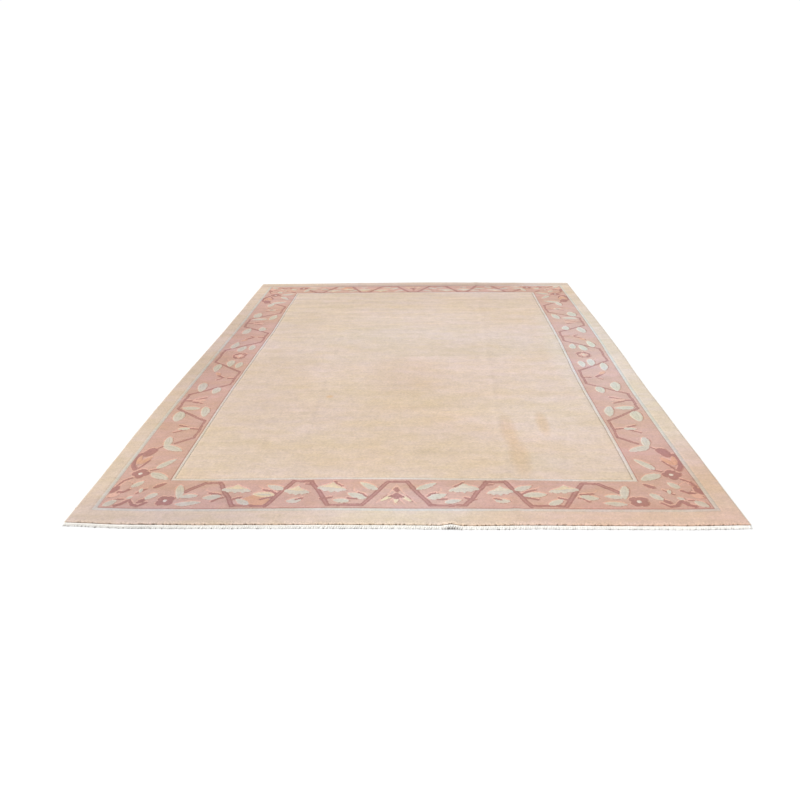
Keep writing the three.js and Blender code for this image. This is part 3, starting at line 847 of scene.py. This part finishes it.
def make_pile():
    """The border as four blocks round the field, which is a fifth."""
    lines_x = (BODY_HALF_WIDTH, OUTER_X + STRIPE_OUTER, OUTER_X, FIELD_X + STRIPE_INNER, FIELD_X)
    lines_y = (HALF_LENGTH, OUTER_Y + STRIPE_OUTER, OUTER_Y, FIELD_Y + STRIPE_INNER, FIELD_Y)
    x_stops = [-line for line in lines_x]
    y_stops = [-line for line in lines_y]
    across = knot_lines(x_stops + list(reversed(lines_x)), KNOT)
    left = knot_lines(x_stops, KNOT)
    near = knot_lines(y_stops, KNOT)
    middle = knot_lines([-FIELD_Y, FIELD_Y], KNOT)
    field_x = knot_lines([-FIELD_X, FIELD_X], FIELD_CELL)
    field_y = knot_lines([-FIELD_Y, FIELD_Y], FIELD_CELL)
    return [
        pile_block("pile_near", across, near, ("left", "right", "near")),
        pile_block("pile_far", across, -near[::-1], ("left", "right", "far")),
        pile_block("pile_left", left, middle, ("left",)),
        pile_block("pile_right", -left[::-1], middle, ("right",)),
        pile_block("pile_field", field_x, field_y, ()),
    ]


# Side cords and fringe

TUBE_SHARE = 0.96
CAP_ROOM = 0.06


def mesh_from_rings(name, tubes, painted_shades=None):
    """One mesh from closed tubes, each an array of rings of points, with a flat layout.

    The last argument: how much painted shade darkens each tube along its length, one value per step
    between its rings.
    """
    vertices = []
    faces = []
    layout = []
    shade_of_faces = []
    start = 0
    rows = math.ceil(math.sqrt(len(tubes)))
    for number, rings in enumerate(tubes):
        count, sides = rings.shape[:2]
        vertices.append(rings.reshape(-1, 3))
        ring = start + np.arange(count - 1)[:, None] * sides
        low = ring + np.arange(sides)
        turn = ring + (np.arange(sides) + 1) % sides
        faces += np.stack([low, turn, turn + sides, low + sides], -1).reshape(-1, 4).tolist()
        faces.append(list(range(start + sides - 1, start - 1, -1)))
        last = start + (count - 1) * sides
        faces.append(list(range(last, last + sides)))
        box = np.array([number % rows, number // rows]) / rows
        layout.append(tube_layout(count, sides) * TUBE_SHARE / rows + box)
        if painted_shades is not None:
            shade_of_faces += [np.repeat(painted_shades[number], sides), painted_shades[number][[0, -1]]]
        start += count * sides
    mesh = bpy.data.meshes.new(name)
    mesh.from_pydata((np.concatenate(vertices) * MM).tolist(), [], faces)
    layer = mesh.uv_layers.new(name="OFBake")
    layer.data.foreach_set("uv", np.concatenate(layout).ravel().astype(np.float32))
    mesh.polygons.foreach_set("use_smooth", np.ones(len(mesh.polygons), bool))
    if painted_shades is not None:
        painted_shade = mesh.attributes.new("painted_shade", "FLOAT", "FACE")
        painted_shade.data.foreach_set("value", np.concatenate(shade_of_faces).astype(np.float32))
    return linked(name, mesh)


def tube_layout(count, sides):
    """Flat layout of one tube: its wall as a sheet, its two caps in a strip above."""
    i, k = np.meshgrid(np.arange(count - 1), np.arange(sides), indexing="ij")
    u = np.stack([i, i, i + 1, i + 1], -1) / (count - 1)
    v = np.stack([k, k + 1, k + 1, k], -1) / sides * (1 - 2 * CAP_ROOM)
    wall = np.stack([u, v], -1).reshape(-1, 2)
    angle = np.arange(sides) * 2 * math.pi / sides
    circle = np.stack([np.cos(angle), np.sin(angle)], -1) * CAP_ROOM / 2
    caps = [circle[::-1] + (CAP_ROOM, 1 - CAP_ROOM), circle + (3 * CAP_ROOM, 1 - CAP_ROOM)]
    return np.concatenate([wall, *caps])


WRAP_PITCH = 5.2
RINGS_PER_WRAP = 3
CORD_SIDES = 8
WRAP_HOLLOW = 0.13
WRAP_UNEVEN = 0.05
CORD_CLEAR = 0.05


def make_overcast(name, side):
    """A side cord wrapped round and round with wool."""
    count = round(LENGTH / WRAP_PITCH * RINGS_PER_WRAP)
    y = np.linspace(-HALF_LENGTH, HALF_LENGTH, count)
    x, py = uneven(np.full(count, side * BODY_HALF_WIDTH), y)
    x += side * (GAP + CORD / 2)
    turn = (np.arange(CORD_SIDES) + 0.5) * 2 * math.pi / CORD_SIDES
    phase = y[:, None] / WRAP_PITCH * math.pi + turn[None, :] / 2
    swell = 1 - WRAP_HOLLOW * np.cos(phase) ** 4
    loose = 1 + WRAP_UNEVEN * (scatter(np.floor(y / WRAP_PITCH), 0, 5)[:, None] - 0.5)
    radius = CORD / 2 * swell * loose
    ring_x = x[:, None] + radius * np.cos(turn)
    ring_z = np.maximum(CORD / 2 + radius * np.sin(turn), CORD_CLEAR)
    ring_y = np.repeat(py[:, None], CORD_SIDES, 1)
    rings = np.stack([ring_x, ring_y, ring_z], -1)
    return mesh_from_rings(name, [rings[::-1]])


HEADING_WIDTH = 7
HEADING_STEP = 6
# The band's section: place out from the pile over its width, and height in millimetres. Its
# inner edge lies in under the pile, in a narrow valley.
HEADING_SECTION = (
    (-0.2, 0.0), (-0.2, 1.2), (0.12, 1.7), (0.45, 3.3), (0.8, 3.1), (1.0, 1.9), (1.0, 0.0),
)
# Loose cotton between the warp ends, flat on the floor, with dashes of painted shade between the
# strands and more painted shade under the fold
WEB_SECTION = ((0.9, 0.05), (0.9, 1.3), (2.4, 0.9), (2.9, 0.05))
WEB_DASH_SHADE = 0.2
WEB_SHADE = 0.4
# How much both bands vary in height and width
BAND_HIGH = 0.45
BAND_WIDE = 0.16
# Share of the fold's rise that the fringe loses from the heading out to its tips
FRINGE_DROP = 0.75
BAND_INSET = 2
STRAND_INSET = 6
STRAND_PITCH = 8.4
STRAND_WANDER = 1.1
STRAND_SIDES = 6
# Ranges of a strand's length, bend and thickness beside the usual one, and how flat it lies
STRAND_PULL = (0.8, 1.05)
STRAND_BEND = (-2.6, 2.6)
STRAND_FAT = (0.85, 1.1)
STRAND_FLAT = 1.35
# Half thickness of a knotted warp end and height of its underside, at places out from the heading
STRAND_OUT = np.array([-3, -0.5, 1.5, 3.6, 5.2, 6.4, 9.5, 12.6, 15.2, 17.2])
STRAND_HALF = np.array([1.0, 1.4, 2.1, 2.2, 1.7, 1.2, 1.5, 1.5, 1.3, 0.8])
STRAND_HIGH = np.array([0.0, 0.0, 0.0, 0.0, 0.3, 0.9, 1.1, 0.8, 0.1, 0.0])
# Painted shade on the steps between those places, darkest at the tips, as a share of the strand's own
# painted shade
STRAND_TIP_SHADE = np.array([0.0, 0.0, 0.0, 0.0, 0.0, 0.0, 0.05, 0.4, 1.0])
# The same where the fold lifts the strand, as painted shade under the fold
STRAND_SHADE = np.array([0.0, 0.0, 0.0, 0.0, 0.0, 0.1, 0.6, 1.0, 1.0])
# Middle and spread of a strand's own painted shade, which darkens its tip
OWN_SHADE = (0.55, 0.34)


def end_rise(x, end):
    """Height of the fold under the fringe, at places x along the near end."""
    return lift(x, np.full(len(x), -HALF_LENGTH)) if end < 0 else np.zeros(len(x))


def band_rings(end, section):
    """A narrow band along a whole end, a little uneven."""
    reach = HALF_WIDTH - BAND_INSET
    x = np.linspace(-reach, reach, round(2 * reach / HEADING_STEP))
    px, edge = uneven(x, np.full(len(x), end * HALF_LENGTH))
    high = 1 + BAND_HIGH * (scatter(x, 0, 7) - 0.5)
    wide = HEADING_WIDTH * (1 + BAND_WIDE * (scatter(x, 0, 8) - 0.5))
    rise = end_rise(x, end)
    rings = []
    for part, level in section:
        lifted = rise * (1 - FRINGE_DROP * np.clip((part - 1) / 2, 0, 1))
        rings.append(np.stack([px, edge + end * (GAP + part * wide), lifted + level * high], -1))
    rings = np.stack(rings, 1)
    return rings if end > 0 else rings[:, ::-1]


def strand_rings(x, end, seed):
    """One knotted warp end lying on the floor, bent a little to one side."""
    px, edge = uneven(np.array([x]), np.array([end * HALF_LENGTH]))
    pull = seed.uniform(*STRAND_PULL)
    bend = seed.uniform(*STRAND_BEND)
    fat = seed.uniform(*STRAND_FAT)
    out = GAP + HEADING_WIDTH + STRAND_OUT * pull
    along = np.clip(STRAND_OUT / STRAND_OUT[-1], 0, 1)
    half = STRAND_HALF * fat
    turn = np.arange(STRAND_SIDES) * 2 * math.pi / STRAND_SIDES
    middle_x = px[0] + bend * along**1.5
    under = STRAND_HIGH + end_rise(np.array([x]), end)[0] * (1 - FRINGE_DROP * along)
    ring_x = middle_x[:, None] + half[:, None] * STRAND_FLAT * np.cos(turn)
    ring_z = half[:, None] * (1 + np.sin(turn)) + under[:, None]
    ring_y = np.repeat((edge[0] + end * out)[:, None], STRAND_SIDES, 1)
    rings = np.stack([ring_x, ring_y, ring_z], -1)
    return rings[::-1] if end > 0 else rings


def strand_painted_shade(end, seed, lifted):
    """Painted shade along a strand, darkest at its tip; some strands get nearly none, but not where
    the fold lifts them.
    """
    own = np.clip(seed.normal(*OWN_SHADE), 0, 1)
    painted_shade = np.maximum(own * STRAND_TIP_SHADE, lifted * STRAND_SHADE)
    return painted_shade[::-1] if end > 0 else painted_shade


def make_fringe(name, end):
    seed = np.random.default_rng(11 if end < 0 else 12)
    reach = HALF_WIDTH - STRAND_INSET
    places = np.arange(-reach, reach, STRAND_PITCH)
    moved = places + seed.uniform(-STRAND_WANDER, STRAND_WANDER, len(places))
    heading = band_rings(end, HEADING_SECTION)
    web = band_rings(end, WEB_SECTION)
    tubes = [heading, web] + [strand_rings(x, end, seed) for x in moved]
    web_places = np.linspace(-HALF_WIDTH, HALF_WIDTH, len(web) - 1)
    # painted shade in grey dashes on the web between the strands, darker under the fold
    web_painted_shade = WEB_DASH_SHADE * seed.uniform(0, 1, len(web_places)) ** 1.5
    web_painted_shade = np.maximum(web_painted_shade, WEB_SHADE * end_rise(web_places, end) / FOLD_RISE)
    painted_shades = [np.zeros(len(heading) - 1), web_painted_shade]
    # painted shade on the strands' tips, all dark where the fold lifts them
    for lifted in np.sqrt(end_rise(places, end) / FOLD_RISE):
        painted_shades.append(strand_painted_shade(end, seed, lifted))
    return mesh_from_rings(name, tubes, painted_shades)


# Materials

# The middle part of a noise's values, where most of them lie
NOISE_LOW = 0.3
NOISE_HIGH = 0.7
# Wool and cotton beside the dyed yarns, and the floor
CORD_WOOL = (214, 200, 180)
CLEAN_COTTON = (255, 253, 248)
# the cotton's colour at full painted shade
SHADED_COTTON = (92, 78, 70)
FLOOR_GREY = 0.93


class Shader:
    """A material, built a node at a time."""

    def __init__(self, name):
        self.material = bpy.data.materials.new(name)
        self.material.use_nodes = True
        self.tree = self.material.node_tree
        self.surface = self.tree.nodes["Principled BSDF"]

    def add(self, kind, inputs=None, **settings):
        node = self.tree.nodes.new(kind)
        for key, value in settings.items():
            setattr(node, key, value)
        for socket, value in (inputs or {}).items():
            self.feed(node.inputs[socket], value)
        return node

    def feed(self, socket, value):
        if isinstance(value, bpy.types.NodeSocket):
            self.tree.links.new(value, socket)
        else:
            socket.default_value = value

    def place(self, scale=(1, 1, 1)):
        """Position on the piece, in metres, stretched by scale."""
        where = self.add("ShaderNodeTexCoord").outputs["Object"]
        return self.add("ShaderNodeMapping", {"Vector": where, "Scale": scale}).outputs["Vector"]

    def coordinates(self):
        """The same, as its three numbers."""
        return self.add("ShaderNodeSeparateXYZ", {"Vector": self.place()}).outputs

    def noise(self, scale, stretch=(1, 1, 1), detail=3.0):
        inputs = {"Vector": self.place(stretch), "Scale": scale, "Detail": detail}
        return self.add("ShaderNodeTexNoise", inputs).outputs["Fac"]

    def math(self, operation, first, second=0.0):
        return self.add("ShaderNodeMath", {0: first, 1: second}, operation=operation).outputs[0]

    def spread(self, value, low, high, from_low=0.0, from_high=1.0):
        inputs = {"Value": value, "From Min": from_low, "From Max": from_high}
        inputs.update({"To Min": low, "To Max": high})
        return self.add("ShaderNodeMapRange", inputs).outputs["Result"]

    def mix(self, amount, first, second, blend="MIX"):
        node = self.add("ShaderNodeMix", data_type="RGBA", blend_type=blend)
        for place, value in ((0, amount), (6, first), (7, second)):
            self.feed(node.inputs[place], value)
        return node.outputs[2]

    def shade(self, colour, value):
        """Colour times a value."""
        grey = self.add("ShaderNodeCombineColor", {0: value, 1: value, 2: value}).outputs["Color"]
        return self.mix(1.0, colour, grey, "MULTIPLY")

    def tint(self, amount, colour, times):
        """Colour, and by the amount the same multiplied by another colour."""
        return self.mix(amount, colour, self.mix(1.0, colour, times, "MULTIPLY"))

    def vary(self, colour, noise, low, high):
        """Colour, from low to high times as light over the noise."""
        return self.shade(colour, self.spread(noise, low, high, NOISE_LOW, NOISE_HIGH))

    def bump(self, height, distance, strength):
        inputs = {"Height": height, "Distance": distance, "Strength": strength}
        self.feed(self.surface.inputs["Normal"], self.add("ShaderNodeBump", inputs).outputs[0])

    def wool(self, colour, sheen):
        self.feed(self.surface.inputs["Base Color"], colour)
        self.surface.inputs["Roughness"].default_value = 1.0
        self.surface.inputs["Specular IOR Level"].default_value = 0.15
        self.surface.inputs["Sheen Weight"].default_value = sheen
        self.surface.inputs["Sheen Roughness"].default_value = 0.6


def rgba(colour):
    return (*linear(colour), 1.0)


def dye(name):
    return (*dyed(name), 1.0)


def knot_rows(shader):
    """Rows of knots: 1 on a knot, lower between knots."""
    waves = []
    for place in shader.coordinates()[:2]:
        angle = shader.math("MULTIPLY", place, math.pi / (KNOT * MM))
        waves.append(shader.math("ABSOLUTE", shader.math("SINE", angle)))
    return shader.math("MULTIPLY", *waves)


# How wide the painted shade along a crease is beside its height, and how dark
CREASE_SHADE_REACH = 0.8
CREASE_SHADE = 0.93


def crease_mask(shader):
    """1 along the creases that folding left in the pile, fading out sideways."""
    x, y, _ = shader.coordinates()
    masks = []
    for crease in CREASES:
        lean = shader.math("MULTIPLY", shader.math("ADD", y, -CREASE_FROM * MM), crease.slope)
        away = shader.math("SUBTRACT", shader.math("SUBTRACT", x, crease.place * MM), lean)
        reach = crease.half_width * MM * CREASE_SHADE_REACH
        masks.append(shader.spread(shader.math("ABSOLUTE", away), 1.0, 0.0, 0.0, reach))
    patchy = shader.spread(shader.noise(5.0, (0.4, 1.6, 1), 2.0), 0.0, 1.0, 0.42, 0.62)
    return shader.math("MULTIPLY", shader.math("MAXIMUM", *masks), patchy)


def tone_mask(shader, tone):
    """1 inside a tone's soft oval, 0 outside."""
    x, y, _ = shader.coordinates()
    squares = []
    for place, middle, half in ((x, tone.x, tone.half_width), (y, tone.y, tone.half_length)):
        part = shader.math("DIVIDE", shader.math("SUBTRACT", place, middle * MM), half * MM)
        squares.append(shader.math("POWER", part, 2.0))
    return shader.spread(shader.math("ADD", *squares), 1.0, 0.0, 0.1, 1.0)


# Where the pile is coloured darker or lighter, greyer or warmer: middle, half width and half length,
# and what the colour is multiplied by. Some of these are painted light, as marked below.
Tone = namedtuple("Tone", "x y half_width half_length times")
BROAD_TONES = (
    # painted shade along the left side
    Tone(-1250, 250, 320, 1300, (0.87, 0.85, 0.86)),
    Tone(-780, -200, 330, 900, (0.96, 0.95, 0.94)),
    Tone(-780, 740, 260, 330, (0.95, 0.965, 0.985)),
    Tone(0, 1290, 1500, 330, (0.95, 0.955, 0.965)),
    Tone(0, 210, 1300, 420, (0.99, 1.02, 1.075)),
    Tone(0, -300, 270, 340, (0.95, 0.93, 0.9)),
    Tone(-560, -800, 420, 330, (1.0, 1.0, 1.075)),
    Tone(610, -780, 450, 330, (1.02, 1.035, 1.05)),
    Tone(0, 620, 750, 480, (1.0, 1.025, 1.05)),
    Tone(60, -900, 420, 650, (0.98, 0.97, 0.93)),
    Tone(760, -100, 360, 1500, (1.01, 1.03, 1.07)),
    # painted sheen: the right side lighter and greyer
    Tone(1180, 100, 380, 1450, (1.02, 1.12, 1.2)),
    Tone(1240, -1450, 200, 420, (0.95, 0.87, 0.86)),
    Tone(-900, -1700, 560, 230, (0.9, 0.9, 0.94)),
    Tone(900, -1745, 560, 150, (0.98, 0.88, 0.84)),
    Tone(0, -1620, 360, 240, (1.05, 1.12, 1.14)),
    Tone(1060, 100, 140, 1400, (1.02, 1.05, 1.05)),
    Tone(250, 1740, 1150, 190, (0.9, 0.89, 0.93)),
    Tone(1070, 1700, 260, 190, (1.04, 1.13, 1.24)),
    # painted shade along the far stripe, beside the pile's edge
    Tone(0, 1664, 1700, 40, (0.84, 0.78, 0.76)),
)
# A stain along the right crease, a pale patch beside it, a shorter stain and a yellow spot
STAINS = (
    Tone(478, -1000, 46, 190, (0.97, 0.915, 0.83)),
    Tone(500, -1250, 52, 200, (0.97, 0.915, 0.83)),
    Tone(590, -1300, 140, 90, (1.01, 1.03, 1.07)),
    Tone(646, -925, 36, 150, (0.955, 0.89, 0.78)),
    Tone(-400, -602, 24, 24, (1.02, 0.9, 0.7)),
)

# Where the wool turns yellower or pinker: scale, stretch and amount
HUE_PATCHES = ((1.3, (0.5, 1.6, 1), 1.0), (8.0, (0.6, 1.7, 1), 0.7), (30.0, (0.7, 1.4, 1), 0.5))
YELLOWER = (0.985, 0.977, 0.925, 1)
PINKER = (1.02, 1.015, 1.06, 1)
# Lighter and darker rows across the rug, from broad clouds to thin streaks: stretch and spread
STREAKS = (((1.1, 2.4, 1), 0.02), ((1.2, 17, 1), 0.032), ((5, 60, 1), 0.028))
# Brushed rows that show more towards the far end, and warmer wool in short bands
BRUSHED_ROWS = (2.2, 20, 1)
BRUSHED_FROM = -0.4
BRUSHED_TO = 1.3
WARM_BANDS = (2.2, 4.5, 1)
WARMER = (1.015, 0.985, 0.925, 1)
# Mottles and clumps of pile and single fibres: scale, stretch, detail and spread
MOTTLE = (20.0, (1, 0.8, 1), 3.0, 0.035)
CLUMP = (120.0, (1, 1, 1), 2.0, 0.07)
FIBRE = (420.0, (1, 1, 1), 3.0, 0.08)


def pile_material():
    shader = Shader("pile_wool")
    colour = shader.add("ShaderNodeAttribute", attribute_name="yarn").outputs["Color"]
    for tone in BROAD_TONES + STAINS:
        colour = shader.tint(tone_mask(shader, tone), colour, (*tone.times, 1.0))
    for scale, stretch, amount in HUE_PATCHES:
        patch = shader.spread(shader.noise(scale, stretch), 0.0, 1.0, 0.39, 0.61)
        colour = shader.tint(amount, colour, shader.mix(patch, YELLOWER, PINKER))
    for stretch, spread in STREAKS:
        colour = shader.vary(colour, shader.noise(1.0, stretch, 4.0), 1 - spread, 1 + spread)
    brushed = shader.spread(shader.coordinates()[1], 0.0, 1.0, BRUSHED_FROM, BRUSHED_TO)
    row = shader.spread(shader.noise(1.0, BRUSHED_ROWS), 0.95, 1.05, 0.32, 0.68)
    colour = shader.mix(brushed, colour, shader.shade(colour, row))
    warm = shader.spread(shader.noise(1.0, WARM_BANDS), 0.0, 1.0, 0.48, 0.75)
    colour = shader.tint(warm, colour, WARMER)
    for scale, stretch, detail, spread in (MOTTLE, CLUMP, FIBRE):
        grain = shader.noise(scale, stretch, detail)
        colour = shader.vary(colour, grain, 1 - spread, 1 + spread)
    # painted shade along the creases
    colour = shader.shade(colour, shader.spread(crease_mask(shader), 1.0, CREASE_SHADE))
    shader.wool(colour, 0.1)
    height = shader.math("ADD", shader.math("MULTIPLY", knot_rows(shader), 0.5), grain)
    shader.bump(height, 0.0012, 0.6)
    return shader.material


def back_material():
    """The underside: the knots' backs, with the border's bands showing through."""
    shader = Shader("pile_back")
    x, y, _ = shader.coordinates()
    across = shader.math("ABSOLUTE", x)
    along = shader.math("ABSOLUTE", y)
    colour = dye("field")
    bands = (
        (OUTER_X + STRIPE_OUTER, OUTER_Y + STRIPE_OUTER, "stripe_outer"),
        (OUTER_X, OUTER_Y, "ground"),
        (FIELD_X + STRIPE_INNER, FIELD_Y + STRIPE_INNER, "stripe_inner"),
        (FIELD_X, FIELD_Y, "field"),
    )
    for reach_x, reach_y, yarn in bands:
        inside_x = shader.math("LESS_THAN", across, reach_x * MM)
        inside_y = shader.math("LESS_THAN", along, reach_y * MM)
        colour = shader.mix(shader.math("MULTIPLY", inside_x, inside_y), colour, dye(yarn))
    knots = knot_rows(shader)
    colour = shader.shade(colour, shader.spread(knots, 0.78, 1.0))
    colour = shader.vary(colour, shader.noise(1.0, (0.7, 22, 1)), 0.9, 1.05)
    shader.wool(colour, 0.1)
    shader.bump(knots, 0.0006, 0.8)
    return shader.material


def overcast_material():
    shader = Shader("overcast_wool")
    fibre = shader.noise(500.0, (1, 0.5, 1))
    colour = shader.vary(rgba(CORD_WOOL), fibre, 0.86, 1.08)
    colour = shader.vary(colour, shader.noise(3.0, (1, 4, 1)), 0.92, 1.05)
    shader.wool(colour, 0.2)
    shader.bump(fibre, 0.0006, 0.6)
    return shader.material


def cotton_material():
    shader = Shader("warp_cotton")
    wave = {"Vector": shader.place(), "Scale": 180.0, "Distortion": 2.0, "Detail": 1.0}
    twist = shader.add("ShaderNodeTexWave", wave, bands_direction="DIAGONAL").outputs["Fac"]
    painted_shade = shader.add("ShaderNodeAttribute", attribute_name="painted_shade").outputs["Fac"]
    # painted shade on the fringe's tips and web, and under the fold
    colour = shader.mix(painted_shade, rgba(CLEAN_COTTON), rgba(SHADED_COTTON))
    colour = shader.shade(colour, shader.spread(twist, 0.92, 1.0))
    colour = shader.vary(colour, shader.noise(9.0), 0.95, 1.02)
    shader.wool(colour, 0.1)
    shader.bump(twist, 0.0005, 0.5)
    return shader.material


# Light and floor

FLOOR_REACH = 15.0
# Strength of the white sky from the horizon up to SKY_TOP, and of the soft sun
SKY_LOW = 1.03
SKY_HIGH = 0.55
SKY_FROM = 0.156
SKY_TOP = 0.375
SUN_STRENGTH = 2.2
SUN_ANGLE = math.radians(42)
SUN_ELEVATION = math.radians(52)
SUN_FROM = (-0.8, -0.6)


def make_floor():
    mesh = bpy.data.meshes.new("floor")
    corners = [(-1, -1), (1, -1), (1, 1), (-1, 1)]
    mesh.from_pydata([(x * FLOOR_REACH, y * FLOOR_REACH, -MM) for x, y in corners], [], [(0, 1, 2, 3)])
    floor = linked("floor", mesh)
    shader = Shader("floor_paint")
    shader.surface.inputs["Base Color"].default_value = (FLOOR_GREY, FLOOR_GREY, FLOOR_GREY, 1)
    shader.surface.inputs["Roughness"].default_value = 1.0
    shader.surface.inputs["Specular IOR Level"].default_value = 0.0
    mesh.materials.append(shader.material)


def make_sky():
    world = bpy.data.worlds.new("studio")
    world.use_nodes = True
    tree = world.node_tree
    direction = tree.nodes.new("ShaderNodeTexCoord")
    split = tree.nodes.new("ShaderNodeSeparateXYZ")
    fade = tree.nodes.new("ShaderNodeMapRange")
    tree.links.new(direction.outputs["Generated"], split.inputs[0])
    tree.links.new(split.outputs["Z"], fade.inputs["Value"])
    limits = {"From Min": SKY_FROM, "From Max": SKY_TOP, "To Min": SKY_LOW, "To Max": SKY_HIGH}
    for name, value in limits.items():
        fade.inputs[name].default_value = value
    background = tree.nodes["Background"]
    background.inputs["Color"].default_value = (1, 1, 1, 1)
    tree.links.new(fade.outputs["Result"], background.inputs["Strength"])
    bpy.context.scene.world = world


def make_sun():
    data = bpy.data.lights.new("soft_sun", "SUN")
    data.energy = SUN_STRENGTH
    data.angle = SUN_ANGLE
    level = math.cos(SUN_ELEVATION)
    source = Vector((SUN_FROM[0] * level, SUN_FROM[1] * level, math.sin(SUN_ELEVATION)))
    linked("soft_sun", data).rotation_euler = source.to_track_quat("Z", "Y").to_euler()


# The whole rug

make_camera()
make_sky()
make_sun()
make_floor()
bpy.context.scene.view_settings.view_transform = "Standard"

pile = make_pile()
pile_wool = pile_material()
pile_back = back_material()
for block in pile:
    block.data.materials.append(pile_wool)
    block.data.materials.append(pile_back)
    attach(block, "root")
    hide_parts("rug")

overcast = overcast_material()
cords = [make_overcast("overcast_left", -1), make_overcast("overcast_right", 1)]
for cord, node in zip(cords, ("selvedge_left", "selvedge_right")):
    cord.data.materials.append(overcast)
    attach(cord, "root")
    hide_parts(node)

cotton = cotton_material()
fringes = [make_fringe("warp_ends_near", -1), make_fringe("warp_ends_far", 1)]
for fringe, node in zip(fringes, ("fringe_near", "fringe_far")):
    fringe.data.materials.append(cotton)
    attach(fringe, "root")
    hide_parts(node)
